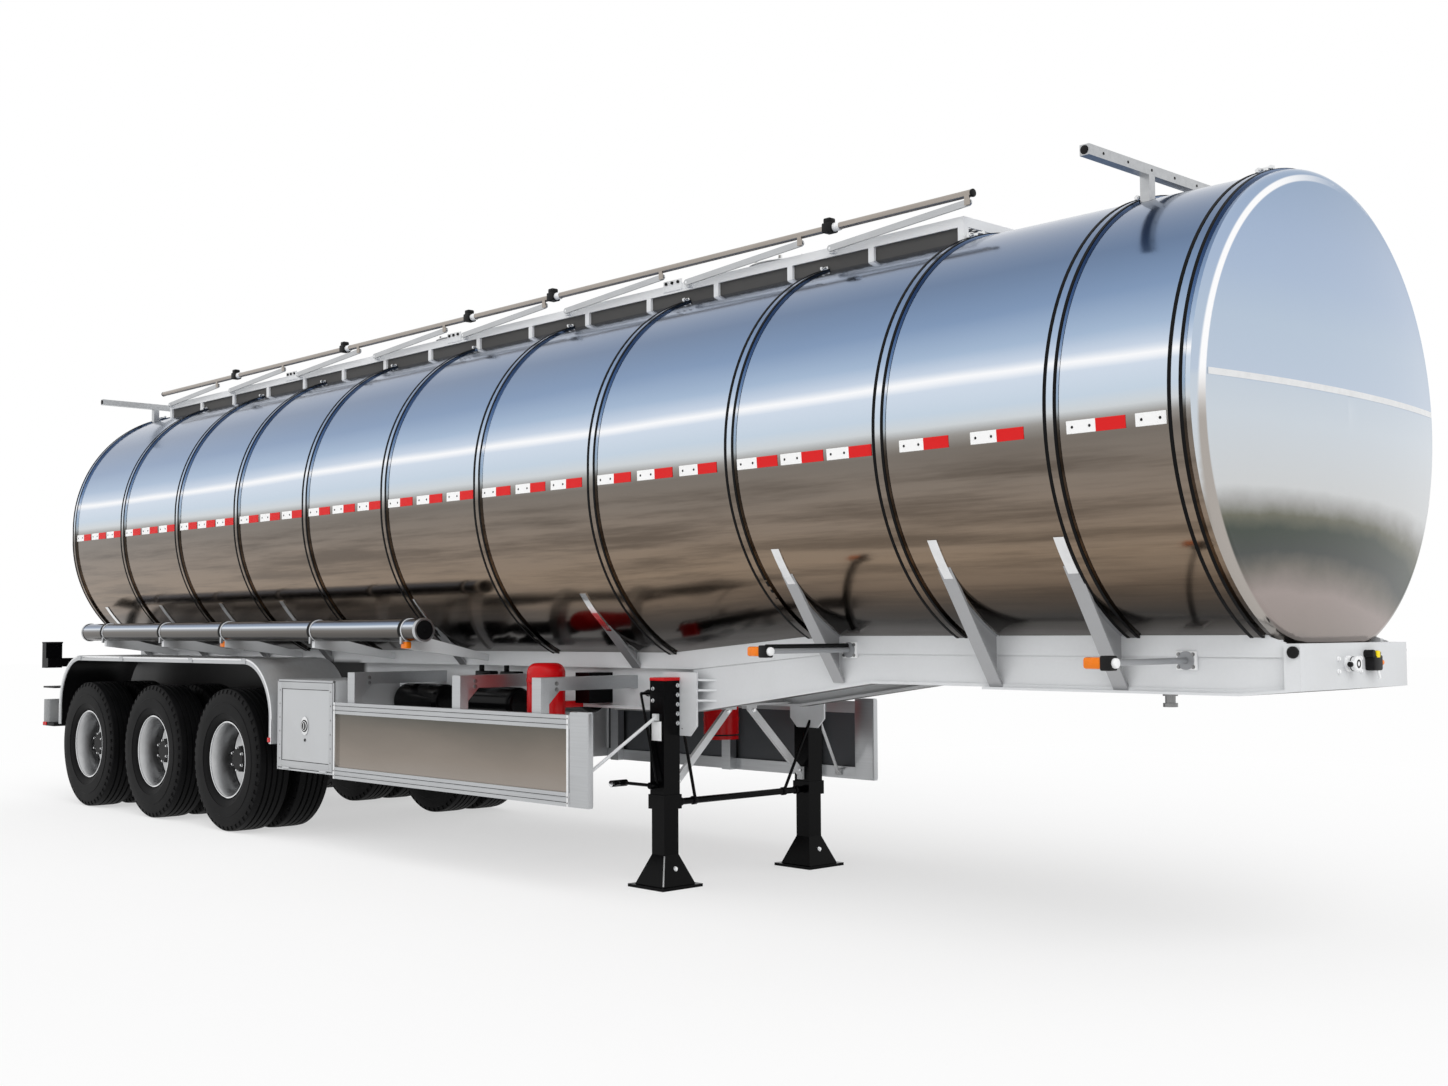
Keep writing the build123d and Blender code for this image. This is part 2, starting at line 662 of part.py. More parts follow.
def tyre_profile(centre):
    """Half section of one tyre, as (across, radius)."""
    bead = RIM_HALF - RIM_WALL
    half = TYRE_WIDTH / 2
    height = TYRE_R - RIM_FLANGE_R
    side = [(bead, RIM_SEAT_R), (bead, RIM_FLANGE_R)]
    side += [(half - inset, RIM_FLANGE_R + share * height) for inset, share in TYRE_SIDE]
    other = [(-a, r) for a, r in side[::-1]]
    return [(centre + a, r) for a, r in side + other]


for number, axle_x in enumerate(AXLE_X, start=1):
    for side_name, side in (("left", 1), ("right", -1)):
        hub_plane = Plane(origin=(axle_x, 0, TYRE_R), x_dir=(0, 1, 0), z_dir=(1, 0, 0))
        spin = Axis((axle_x, 0, TYRE_R), (0, 1, 0))
        with BuildPart() as wheel:
            for shape in wheel_profile(side):
                with BuildSketch(hub_plane) as half_wheel:
                    with BuildLine():
                        Polyline(*shape, close=True)
                    make_face()
                revolve(half_wheel.sketch, axis=spin)
        save(wheel, f"wheel_{side_name}_{number}")
        with BuildPart() as tyres:
            for offset in (TWIN_OFFSET, -TWIN_OFFSET):
                with BuildSketch(hub_plane) as half_tyre:
                    with BuildLine():
                        Polyline(*tyre_profile(side * (TWIN_Y + offset)), close=True)
                    make_face()
                revolve(half_tyre.sketch, axis=spin)
        save(tyres, f"tyres_{side_name}_{number}")

# fenders: over the three wheels of each side, two bent ends, a flat sheet and its edge strip
with BuildPart() as fenders:
    for grow, y_range, mode in (
        (0.0, (FENDER_INNER_Y, HALF_WIDTH), Mode.ADD),
        (FENDER_THICK, (FENDER_INNER_Y, HALF_WIDTH - FENDER_THICK), Mode.SUBTRACT),
        (FENDER_LIP, (HALF_WIDTH - FENDER_THICK, HALF_WIDTH), Mode.SUBTRACT),
    ):
        left, right = FENDER_X[0] + grow, FENDER_X[1] - grow
        top = FENDER_TOP - grow
        radius = FENDER_RADIUS - grow
        with BuildSketch(Plane.XZ.offset(-y_range[0])) as arch:
            with BuildLine():
                Line((left, FENDER_BOTTOM), (left, top - radius))
                CenterArc((left + radius, top - radius), radius, 180, -90)
                Line((left + radius, top), (right - radius, top))
                CenterArc((right - radius, top - radius), radius, 90, -90)
                Line((right, top - radius), (right, FENDER_BOTTOM))
                Line((right, FENDER_BOTTOM), (left, FENDER_BOTTOM))
            make_face()
        extrude(arch.sketch, amount=-(y_range[1] - y_range[0]), mode=mode)
    for x in AXLE_X:
        block(
            x - CROSS_WIDTH / 2, x + CROSS_WIDTH / 2, beam_outside, HALF_WIDTH / 2,
            FENDER_TOP - FENDER_LIP - FENDER_THICK, FENDER_TOP - FENDER_THICK - SEAT,
        )
    sheet_x = (FENDER_X[0] + FENDER_RADIUS, FENDER_X[1] - FENDER_RADIUS)
    for x in sheet_x:
        block(
            x - SEAT / 2, x + SEAT / 2, FENDER_INNER_Y, HALF_WIDTH,
            FENDER_BOTTOM, FENDER_TOP, mode=Mode.SUBTRACT,
        )
    strip_y = HALF_WIDTH - FENDER_THICK
    block(*sheet_x, strip_y - SEAT, strip_y, FENDER_TOP - FENDER_LIP, FENDER_TOP, mode=Mode.SUBTRACT)
    mirror(about=Plane.XZ)
save(fenders, "fenders")

# toolboxes, open in front, and their doors hung at the bottom on knuckles round a pin
hinge_y = BOX_FACE_Y + HINGE_R / 2
hinge_z = BOX_Z[0] + BOX_WALL + DOOR_GAP / 2
door_x = (BOX_X[0] + BOX_WALL + DOOR_GAP, BOX_X[1] - BOX_WALL - DOOR_GAP)
door_z = (BOX_Z[0] + BOX_WALL + DOOR_GAP, BOX_Z[1] - BOX_WALL - DOOR_GAP)
hinge_mid = (door_x[0] + HINGE_INSET, door_x[1] - HINGE_INSET)
knuckle_half = HINGE_KNUCKLE / 2
knuckle_room = HINGE_R + DOOR_GAP / 2
with BuildPart() as toolboxes:
    block(*BOX_X, BOX_INNER_Y, BOX_FACE_Y, *BOX_Z)
    block(
        BOX_X[0] + BOX_WALL, BOX_X[1] - BOX_WALL, BOX_INNER_Y + BOX_WALL, BOX_FACE_Y,
        BOX_Z[0] + BOX_WALL, BOX_Z[1] - BOX_WALL, mode=Mode.SUBTRACT,
    )
    for x in (BOX_X[0] + 2 * CROSS_WIDTH, BOX_X[1] - 2 * CROSS_WIDTH):
        block(
            x - CROSS_WIDTH / 2, x + CROSS_WIDTH / 2, beam_outside, BOX_INNER_Y,
            BOTTOM_REAR, BOTTOM_REAR + CROSS_WIDTH,
        )
    for x in hinge_mid:
        rod((x - 3 * knuckle_half, hinge_y, hinge_z), (x + 3 * knuckle_half, hinge_y, hinge_z), HINGE_R)
        gap = knuckle_half + SEAT
        block(
            x - gap, x + gap, hinge_y - knuckle_room, hinge_y + knuckle_room,
            hinge_z - knuckle_room, hinge_z + knuckle_room, mode=Mode.SUBTRACT,
        )
        rod((x - gap, hinge_y, hinge_z), (x + gap, hinge_y, hinge_z), HINGE_PIN_R)
    mirror(about=Plane.XZ)
save(toolboxes, "toolboxes")

for side_name, side in (("left", 1), ("right", -1)):
    face_y = side * BOX_FACE_Y
    with BuildPart() as door:
        block(*door_x, side * (BOX_FACE_Y - DOOR_THICK), face_y, *door_z)
        for x in hinge_mid:
            for centre in (x - HINGE_KNUCKLE, x + HINGE_KNUCKLE):
                block(
                    centre - knuckle_half - DOOR_GAP, centre + knuckle_half + SEAT + DOOR_GAP,
                    side * (hinge_y - knuckle_room), side * (hinge_y + knuckle_room),
                    hinge_z - knuckle_room, hinge_z + knuckle_room, mode=Mode.SUBTRACT,
                )
        for x in hinge_mid:
            ends = (x - knuckle_half, side * hinge_y, hinge_z), (x + knuckle_half, side * hinge_y, hinge_z)
            rod(*ends, HINGE_R)
            block(
                x - knuckle_half, x + knuckle_half, side * (BOX_FACE_Y - HINGE_R), face_y,
                hinge_z, door_z[0] + HINGE_R,
            )
            rod(*ends, HINGE_PIN_R + HINGE_FIT, mode=Mode.SUBTRACT)
        with BuildSketch(Plane.XZ.offset(-face_y)) as latch:
            with Locations(((door_x[0] + door_x[1]) / 2, (door_z[0] + door_z[1]) / 2)):
                Ellipse(LATCH[0], LATCH[1])
        extrude(latch.sketch, amount=-side * LATCH[2])
    save(door, f"toolbox_door_{side_name}")

# side guards: rails, end post, outriggers and the panel between the rails
rail_y = HALF_WIDTH - GUARD_DEPTH
with BuildPart() as guard_frames:
    block(
        GUARD_X[1] - GUARD_POST, GUARD_X[1], rail_y, HALF_WIDTH,
        GUARD_Z[0], GUARD_Z[1] + GUARD_POST_RISE,
    )
    fillet(guard_frames.edges().filter_by(Axis.Z).group_by(Axis.X)[-1], GUARD_DEPTH / 3)
    for low in (GUARD_Z[0], GUARD_Z[1] - GUARD_RAIL):
        block(GUARD_X[0], GUARD_X[1] - GUARD_POST, rail_y, HALF_WIDTH, low, low + GUARD_RAIL)
    half = OUTRIGGER_WIDTH / 2
    post_y = rail_y - OUTRIGGER_DEPTH
    arm_z = OUTRIGGER_TOP - OUTRIGGER_ARM
    for x in OUTRIGGER_X:
        block(x - half, x + half, post_y, rail_y, GUARD_Z[0], OUTRIGGER_TOP)
        block(x - half, x + half, web_outside, post_y, arm_z, OUTRIGGER_TOP)
        gusset = [(post_y, arm_z), (post_y - OUTRIGGER_GUSSET, arm_z), (post_y, arm_z - OUTRIGGER_GUSSET)]
        outline(gusset, Plane.YZ.offset(x), CRADLE_PLATE)
    mirror(about=Plane.XZ)
save(guard_frames, "guard_frames")

with BuildPart() as guard_panels:
    panel_y = HALF_WIDTH - GUARD_DEPTH / 2
    block(
        GUARD_X[0], GUARD_X[1] - GUARD_POST, panel_y - GUARD_PANEL / 2, panel_y + GUARD_PANEL / 2,
        GUARD_Z[0] + GUARD_RAIL, GUARD_Z[1] - GUARD_RAIL,
    )
    mirror(about=Plane.XZ)
save(guard_panels, "guard_panels")

# hose tubes along both sides, with their straps and arms
with BuildPart() as hose_tubes:
    for y in (HOSE_Y, -HOSE_Y):
        rod((HOSE_X[0], y, HOSE_Z), (HOSE_X[1], y, HOSE_Z), HOSE_R)
save(hose_tubes, "hose_tubes")

with BuildPart() as hose_straps:
    for x in STRAP_X:
        left, right = x - STRAP_WIDTH / 2, x + STRAP_WIDTH / 2
        rod((left, HOSE_Y, HOSE_Z), (right, HOSE_Y, HOSE_Z), HOSE_R + SEAT + STRAP_THICK)
        arm_low = TOP_REAR + FLANGE_THICK
        arm_end = HOSE_Z - HOSE_R - STRAP_THICK
        arm = [
            (beam_outside, arm_low), (HOSE_Y + HOSE_R / 2, arm_end - ARM_DEPTH),
            (HOSE_Y + HOSE_R / 2, arm_end + ARM_DEPTH), (HOSE_Y - HOSE_R, arm_end + ARM_DEPTH),
            (beam_outside, arm_low + ARM_DEPTH),
        ]
        outline(arm, Plane.YZ.offset(x), STRAP_WIDTH)
        rod((left, HOSE_Y, HOSE_Z), (right, HOSE_Y, HOSE_Z), HOSE_R + SEAT, mode=Mode.SUBTRACT)
    mirror(about=Plane.XZ)
    add(tank_space, mode=Mode.SUBTRACT)
save(hose_straps, "hose_straps")

# air tanks beside the beams, on arms from the webs, and a valve box
with BuildPart() as air_tanks:
    for rear, front, radius, z in AIR_TANKS:
        rod((rear, AIR_TANK_Y, z), (front, AIR_TANK_Y, z), radius)
    fillet(air_tanks.edges().filter_by(GeomType.CIRCLE), AIR_TANKS[1][2] / 3)
    arm_low = BOTTOM_REAR + FLANGE_THICK
    for rear, front, radius, z in AIR_TANKS:
        for x in (rear + radius, front - radius):
            block(
                x - STRAP_WIDTH / 2, x + STRAP_WIDTH / 2, web_outside, AIR_TANK_Y,
                arm_low, arm_low + STRAP_WIDTH,
            )
    block(*VALVE_BOX_X, web_outside, VALVE_BOX_Y, *VALVE_BOX_Z)
    mirror(about=Plane.XZ)
save(air_tanks, "air_tanks")

with BuildPart() as extinguishers:
    low, high = EXTINGUISHER_Z
    rod((EXTINGUISHER_X, EXTINGUISHER_Y, low), (EXTINGUISHER_X, EXTINGUISHER_Y, high), EXTINGUISHER_R)
    fillet(extinguishers.edges().filter_by(GeomType.CIRCLE).sort_by(Axis.Z)[-1], EXTINGUISHER_R / 2)
    block(
        EXTINGUISHER_X - STRAP_WIDTH, EXTINGUISHER_X + STRAP_WIDTH,
        beam_outside, EXTINGUISHER_Y, BOTTOM_REAR, BOTTOM_REAR + STRAP_WIDTH,
    )
    mirror(about=Plane.XZ)
save(extinguishers, "extinguishers")

# rear end: underrun bumper, lamp boxes on a cross bar
bumper_front = REAR_END + BUMPER_DEPTH
with BuildPart() as rear_bumper:
    bumper_half = HALF_WIDTH - BUMPER_SHORT
    block(REAR_END, bumper_front, -bumper_half, bumper_half, *BUMPER_Z)
    fillet(rear_bumper.edges().filter_by(Axis.Z), BUMPER_DEPTH / 3)
    for y in (BEAM_Y, -BEAM_Y):
        hanger = [
            (bumper_front, BUMPER_Z[0] + BUMPER_HANGER), (BEAM_REAR + BUMPER_FOOT, BOTTOM_REAR),
            (BEAM_REAR, BOTTOM_REAR), (bumper_front, BUMPER_Z[1]),
        ]
        outline(hanger, Plane.XZ.offset(-y), BEAM_FLANGE)
save(rear_bumper, "rear_bumper")

lamp_front = REAR_END + LAMP_BOX_DEPTH
with BuildPart() as tail_lamps:
    for side in (1, -1):
        block(REAR_END, lamp_front, side * LAMP_BOX_Y[0], side * LAMP_BOX_Y[1], *LAMP_BOX_Z)
    bar_low = LAMP_BOX_Z[0] + LAMP_BAR_RISE
    block(lamp_front, BEAM_REAR, -LAMP_BOX_Y[1], LAMP_BOX_Y[1], bar_low, bar_low + LAMP_BAR)
save(tail_lamps, "tail_lamps")

# discharge pipe: down from the tank's belly, round a bend, back to its flange
with BuildPart() as discharge_pipe:
    pipe_top = TANK_Z - FLAT_REAR - TANK_R + PIPE_SINK
    with BuildLine():
        FilletPolyline(
            (PIPE_X, 0, pipe_top), (PIPE_X, 0, PIPE_Z), (BEAM_REAR, 0, PIPE_Z), radius=2 * PIPE_R
        )
    with BuildSketch(Plane(origin=(PIPE_X, 0, pipe_top), z_dir=(0, 0, -1))):
        Circle(PIPE_R)
    sweep()
    add(tank_space, mode=Mode.SUBTRACT)
    flange_x = BEAM_REAR - PIPE_FLANGE_THICK
    rod((BEAM_REAR, 0, PIPE_Z), (flange_x, 0, PIPE_Z), PIPE_FLANGE_R)
    rod((PIPE_X - PIPE_VALVE[0], 0, PIPE_Z), (PIPE_X - PIPE_VALVE[1], 0, PIPE_Z), PIPE_VALVE_R)
    with Locations(Plane(origin=(flange_x, 0, PIPE_Z), z_dir=(-1, 0, 0))):
        with PolarLocations(PIPE_FLANGE_PCD / 2, PIPE_FLANGE_HOLES):
            Hole(PIPE_FLANGE_HOLE_R, depth=PIPE_FLANGE_THICK)
save(discharge_pipe, "discharge_pipe")

# ladder at the back, bent over onto the walkway
ladder_low = BUMPER_Z[1]
ladder_bend = BAR_Z + BAR_SIZE + LADDER_R
ladder_x = lamp_front - LADDER_R - SEAT
with BuildPart() as rear_ladder:
    stile_y = (LADDER_Y - LADDER_WIDTH / 2, LADDER_Y + LADDER_WIDTH / 2)
    for y in stile_y:
        with BuildLine():
            FilletPolyline(
                (ladder_x, y, ladder_low), (ladder_x, y, ladder_bend),
                (WALK_X[0] + LADDER_REST, y, ladder_bend), radius=LADDER_BEND,
            )
        with BuildSketch(Plane(origin=(ladder_x, y, ladder_low), z_dir=(0, 0, 1))):
            Circle(LADDER_R)
        sweep()
    rungs = int((ladder_bend - LADDER_BEND - ladder_low) / LADDER_STEP)
    for rung in range(1, rungs + 1):
        z = ladder_low + rung * LADDER_STEP
        rod((ladder_x, stile_y[0], z), (ladder_x, stile_y[1], z), RUNG_SHARE * LADDER_R)
save(rear_ladder, "rear_ladder")

# walkway on the roof: curbs, posts, pivot brackets of the handrail and the deck
fold = radians(STRUT_FOLD)
strut_feet = [STRUT_FRONT_X - STRUT_PITCH * i for i in range(STRUT_COUNT)]
top_dx = STRUT_LENGTH * cos(fold)
top_dz = STRUT_LENGTH * sin(fold)
strut_y = (RAIL_Y - STRUT_THICK / 2, RAIL_Y + STRUT_THICK / 2)
posts = int((WALK_X[1] - WALK_X[0]) / POST_PITCH)
with BuildPart() as walkway_frame:
    curb_out = WALK_HALF
    for side in (1, -1):
        block(
            *WALK_X, side * (curb_out - CURB_THICK), side * curb_out,
            DECK_Z - DECK_THICK, DECK_Z + CURB_HEIGHT,
        )
        for post in range(posts + 1):
            x = WALK_X[0] + POST_SIZE / 2 + post * (WALK_X[1] - WALK_X[0] - POST_SIZE) / posts
            block(
                x - POST_SIZE / 2, x + POST_SIZE / 2,
                side * (curb_out - POST_SIZE), side * curb_out,
                TANK_TOP - POST_SINK, DECK_Z - DECK_THICK,
            )
    for x in WALK_X:
        end = x + CURB_THICK if x < 0 else x - CURB_THICK
        block(
            x, end, -curb_out + CURB_THICK, curb_out - CURB_THICK,
            DECK_Z - DECK_THICK, DECK_Z + CURB_HEIGHT,
        )
    for x in strut_feet:
        block(
            x - PIVOT_HALF, x + PIVOT_HALF, strut_y[1] + LUG_GAP, -WALK_HALF,
            STRUT_PIVOT_Z - PIVOT_DROP, STRUT_PIVOT_Z + PIVOT_HALF,
        )
        rod((x, strut_y[0], STRUT_PIVOT_Z), (x, strut_y[1] + LUG_GAP, STRUT_PIVOT_Z), PIVOT_R)
    add([tank_space, ring_space], mode=Mode.SUBTRACT)
save(walkway_frame, "walkway_frame")

with BuildPart() as walkway_deck:
    block(
        WALK_X[0] + CURB_THICK, WALK_X[1] - CURB_THICK,
        -WALK_HALF + CURB_THICK, WALK_HALF - CURB_THICK, DECK_Z - DECK_THICK, DECK_Z,
    )
    for x in MANHOLE_X:
        hole = (x, 0, DECK_Z - 2 * DECK_THICK), (x, 0, DECK_Z + DECK_THICK)
        rod(*hole, MANHOLE_R + MANHOLE_ROOM, mode=Mode.SUBTRACT)
save(walkway_deck, "walkway_deck")

# manholes with hinged lids
hinge_x = LID_R + LID_HINGE
lid_axis = MANHOLE_TOP + LID_THICK / 2
ear_top = lid_axis + HINGE_EAR
with BuildPart() as manhole_necks:
    for x in MANHOLE_X:
        rod((x, 0, TANK_TOP - MANHOLE_SINK), (x, 0, MANHOLE_TOP), MANHOLE_R)
        for side in (1, -1):
            block(
                x - hinge_x - HINGE_EAR, x - hinge_x + HINGE_EAR,
                side * HINGE_EAR_Y[0], side * HINGE_EAR_Y[1], DECK_Z, ear_top,
            )
        rod((x - hinge_x, -HINGE_EAR_Y[1], lid_axis), (x - hinge_x, HINGE_EAR_Y[1], lid_axis), HINGE_PIN_R)
    add(tank_space, mode=Mode.SUBTRACT)
save(manhole_necks, "manhole_necks")

dome_radius = (LID_R**2 + LID_DOME**2) / (2 * LID_DOME)
dome_angle = degrees(asin(LID_R / dome_radius))
for number, x in enumerate(MANHOLE_X, start=1):
    with BuildPart() as lid:
        lid_plane = Plane(origin=(x, 0, MANHOLE_TOP + SEAT), x_dir=(1, 0, 0), z_dir=(0, -1, 0))
        with BuildSketch(lid_plane):
            with BuildLine():
                Polyline((0, LID_THICK + LID_DOME), (0, 0), (LID_R, 0), (LID_R, LID_THICK))
                CenterArc((0, LID_THICK + LID_DOME - dome_radius), dome_radius, 90 - dome_angle, dome_angle)
            make_face()
        revolve(axis=Axis((x, 0, 0), (0, 0, 1)))
        block(
            x - hinge_x - TONGUE_REACH[0], x - LID_R + TONGUE_REACH[1], -HINGE_TONGUE, HINGE_TONGUE,
            MANHOLE_TOP + TONGUE_ROOM, MANHOLE_TOP + LID_THICK - TONGUE_ROOM,
        )
        bore = (x - hinge_x, -HINGE_TONGUE, lid_axis), (x - hinge_x, HINGE_TONGUE, lid_axis)
        rod(*bore, HINGE_PIN_R + HINGE_FIT, mode=Mode.SUBTRACT)
    save(lid, f"manhole_lid_{number}")

# folding handrail: struts on pivots along the curb, and the rail on their tops
for number, x in enumerate(strut_feet, start=1):
    with BuildPart() as strut:
        slope = Plane(origin=(x, RAIL_Y, STRUT_PIVOT_Z), x_dir=(cos(fold), 0, sin(fold)), z_dir=(0, -1, 0))
        with BuildSketch(slope) as flat_bar:
            with Locations((STRUT_LENGTH / 2, 0)):
                SlotCenterToCenter(STRUT_LENGTH, STRUT_HEIGHT)
        extrude(flat_bar.sketch, amount=STRUT_THICK / 2, both=True)
        for px, pz in ((x, STRUT_PIVOT_Z), (x + top_dx, STRUT_PIVOT_Z + top_dz)):
            rod((px, strut_y[0], pz), (px, strut_y[1], pz), PIVOT_R + SEAT, mode=Mode.SUBTRACT)
    save(strut, f"rail_strut_{number}")

rail_z = STRUT_PIVOT_Z + top_dz + RAIL_RISE
with BuildPart() as handrail:
    rail_front = STRUT_FRONT_X + top_dx + RAIL_OVER
    rod((RAIL_REAR, RAIL_Y, rail_z), (rail_front, RAIL_Y, rail_z), RAIL_R)
    lug_y = strut_y[0] - LUG_GAP
    for x in strut_feet:
        px, pz = x + top_dx, STRUT_PIVOT_Z + top_dz
        block(px - LUG_HALF, px + LUG_HALF, lug_y - LUG_THICK, lug_y, pz - LUG_HALF, rail_z)
        rod((px, lug_y, pz), (px, strut_y[1], pz), PIVOT_R)
save(handrail, "handrail")

# cross bars on short posts near both ends of the roof
with BuildPart() as top_bars:
    for x in BAR_X:
        block(x - BAR_SIZE / 2, x + BAR_SIZE / 2, -BAR_HALF, BAR_HALF, BAR_Z, BAR_Z + BAR_SIZE)
        for y in (BAR_POST_Y, -BAR_POST_Y):
            block(
                x - BAR_SIZE / 2, x + BAR_SIZE / 2, y - BAR_SIZE / 2, y + BAR_SIZE / 2,
                TANK_TOP - BAR_SINK, BAR_Z,
            )
    add(tank_space, mode=Mode.SUBTRACT)
save(top_bars, "top_bars")

# marker lamps on arms out to the trailer's full width
with BuildPart() as marker_lamps:
    arm_end = HALF_WIDTH - LAMP_ARM_SHORT
    for x, z in MARKER_LAMPS:
        rod((x, beam_outside, z), (x, arm_end, z), LAMP_ARM_R)
        rod((x, beam_outside, z), (x, beam_outside + FLANGE_THICK, z), 3 * LAMP_ARM_R)
        rod((x, arm_end - LAMP_BOSS, z), (x, arm_end, z), 2 * LAMP_ARM_R)
        block(
            x - LAMP_HALF, x + LAMP_HALF, arm_end, arm_end + LAMP_DEPTH,
            z - LAMP_HEIGHT / 2, z + LAMP_HEIGHT / 2,
        )
    mirror(about=Plane.XZ)
save(marker_lamps, "marker_lamps")

# couplings and rubbers on the nose
with BuildPart() as nose_fittings:
    for y, z, radius in COUPLINGS:
        rod((NOSE_X, y, z), (NOSE_X + FITTING_REACH, y, z), radius)
    rubber_x, rubber_z, rubber_r = CORNER_RUBBER
    for y, reach in ((NOSE_HALF, RUBBER_REACH), (-NOSE_HALF, -RUBBER_REACH)):
        rod((rubber_x, y, rubber_z), (rubber_x, y + reach, rubber_z), rubber_r)
save(nose_fittings, "nose_fittings")
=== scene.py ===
from math import atan2, cos, pi, radians, sin, sqrt

import bmesh
import bpy
from bpy.props import FloatProperty, FloatVectorProperty, IntProperty, PointerProperty
from mathutils import Matrix, Vector


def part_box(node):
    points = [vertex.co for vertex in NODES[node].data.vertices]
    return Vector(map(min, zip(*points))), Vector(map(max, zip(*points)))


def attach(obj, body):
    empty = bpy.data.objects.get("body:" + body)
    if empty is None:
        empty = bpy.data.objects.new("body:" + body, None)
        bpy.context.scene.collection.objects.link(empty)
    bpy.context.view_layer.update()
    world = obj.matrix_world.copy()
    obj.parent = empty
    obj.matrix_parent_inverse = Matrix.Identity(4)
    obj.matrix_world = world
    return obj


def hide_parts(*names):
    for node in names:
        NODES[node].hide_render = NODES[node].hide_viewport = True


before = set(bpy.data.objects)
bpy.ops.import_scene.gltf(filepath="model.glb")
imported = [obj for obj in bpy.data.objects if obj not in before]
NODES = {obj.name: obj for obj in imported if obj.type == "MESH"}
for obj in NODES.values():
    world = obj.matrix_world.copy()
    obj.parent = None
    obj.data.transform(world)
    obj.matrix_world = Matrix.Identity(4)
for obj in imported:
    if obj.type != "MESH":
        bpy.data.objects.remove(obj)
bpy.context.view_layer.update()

bl_info = {
    "name": "Tanker trailer dressing",
    "version": (1, 0, 0),
    "blender": (4, 5, 0),
    "location": "View3D > Sidebar > Tanker",
    "description": "Finishes, trim and stage for a three-axle tanker semi-trailer",
    "category": "Object",
}

CHASSIS = "chassis"
SIDES = (("left", 1), ("right", -1))
WHEELS = [(name, side, axle) for name, side in SIDES for axle in (1, 2, 3)]
LOW, HIGH = 0, 1
FORWARD, BACKWARD, UP = (1, 0, 0), (-1, 0, 0), (0, 0, 1)
FULL_TURN = 2 * pi
SHARP_EDGE = radians(32)
MERGE = 1e-6

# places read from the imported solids
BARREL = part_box("tank_barrel")
TANK_R = BARREL[HIGH].y
TANK_Z = BARREL[HIGH].z - TANK_R
FLAT = TANK_Z - TANK_R - BARREL[LOW].z
HALF_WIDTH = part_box("fenders")[HIGH].y
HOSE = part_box("hose_tubes")
HOSE_R = (HOSE[HIGH].z - HOSE[LOW].z) / 2
HOSE_Z = (HOSE[HIGH].z + HOSE[LOW].z) / 2
HOSE_Y = HOSE[HIGH].y - HOSE_R
LEG_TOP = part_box("leg_tubes")[HIGH].z
POST_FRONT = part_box("guard_frames")[HIGH].x + 0.002

# sizes of the solids that their boxes don't give
RING_X = (-5.610, -4.559, -3.492, -2.453, -1.386, -0.307, 0.798, 1.952, 3.118, 4.162, 5.163, 5.785)
RING_HALF = 0.035
RING_THICK = 0.0103
CONE_REAR, CONE_FRONT = RING_X[7], RING_X[8]
STRAP_X = (-4.800, -3.650, -2.560, -1.180, 0.020)
GUARD_X = (-0.745, 1.892)
GUARD_RAILS = ((0.505, 0.585), (0.950, 1.030))
GUARD_FACE = 1.240
ARCH_R = 0.440
LEG_X, LEG_Y, LEG_HALF = 2.018, 0.616, 0.0625
DOOR_FACE = 1.228
NOSE_FACE = 5.990
TWIN_Y, TWIN_HALF = 0.925, 0.170
LAMP_PLACES = ((5.440, 1.365, False), (3.400, 1.403, True))
HATCH_X = (2.540, -0.846, -4.025)
HATCH_R = 0.270
CRADLES = (
    (-5.337, 53), (-4.208, 53), (-3.093, 53), (-2.084, 53), (-0.270, 52), (1.613, 52), (3.313, 58),
    (4.373, 58), (5.092, 57),
)


def flat_at(x):
    """Height of the tank's straight sides at a station."""
    share = min(max((x - CONE_REAR) / (CONE_FRONT - CONE_REAR), 0.0), 1.0)
    return FLAT * (1 - share)


def tone(red, green, blue):
    """A colour picked on screen, as the linear values a shader takes."""
    def linear(c):
        c /= 255
        return c / 12.92 if c <= 0.04045 else ((c + 0.055) / 1.055) ** 2.4
    return (linear(red), linear(green), linear(blue), 1.0)


# shader maths

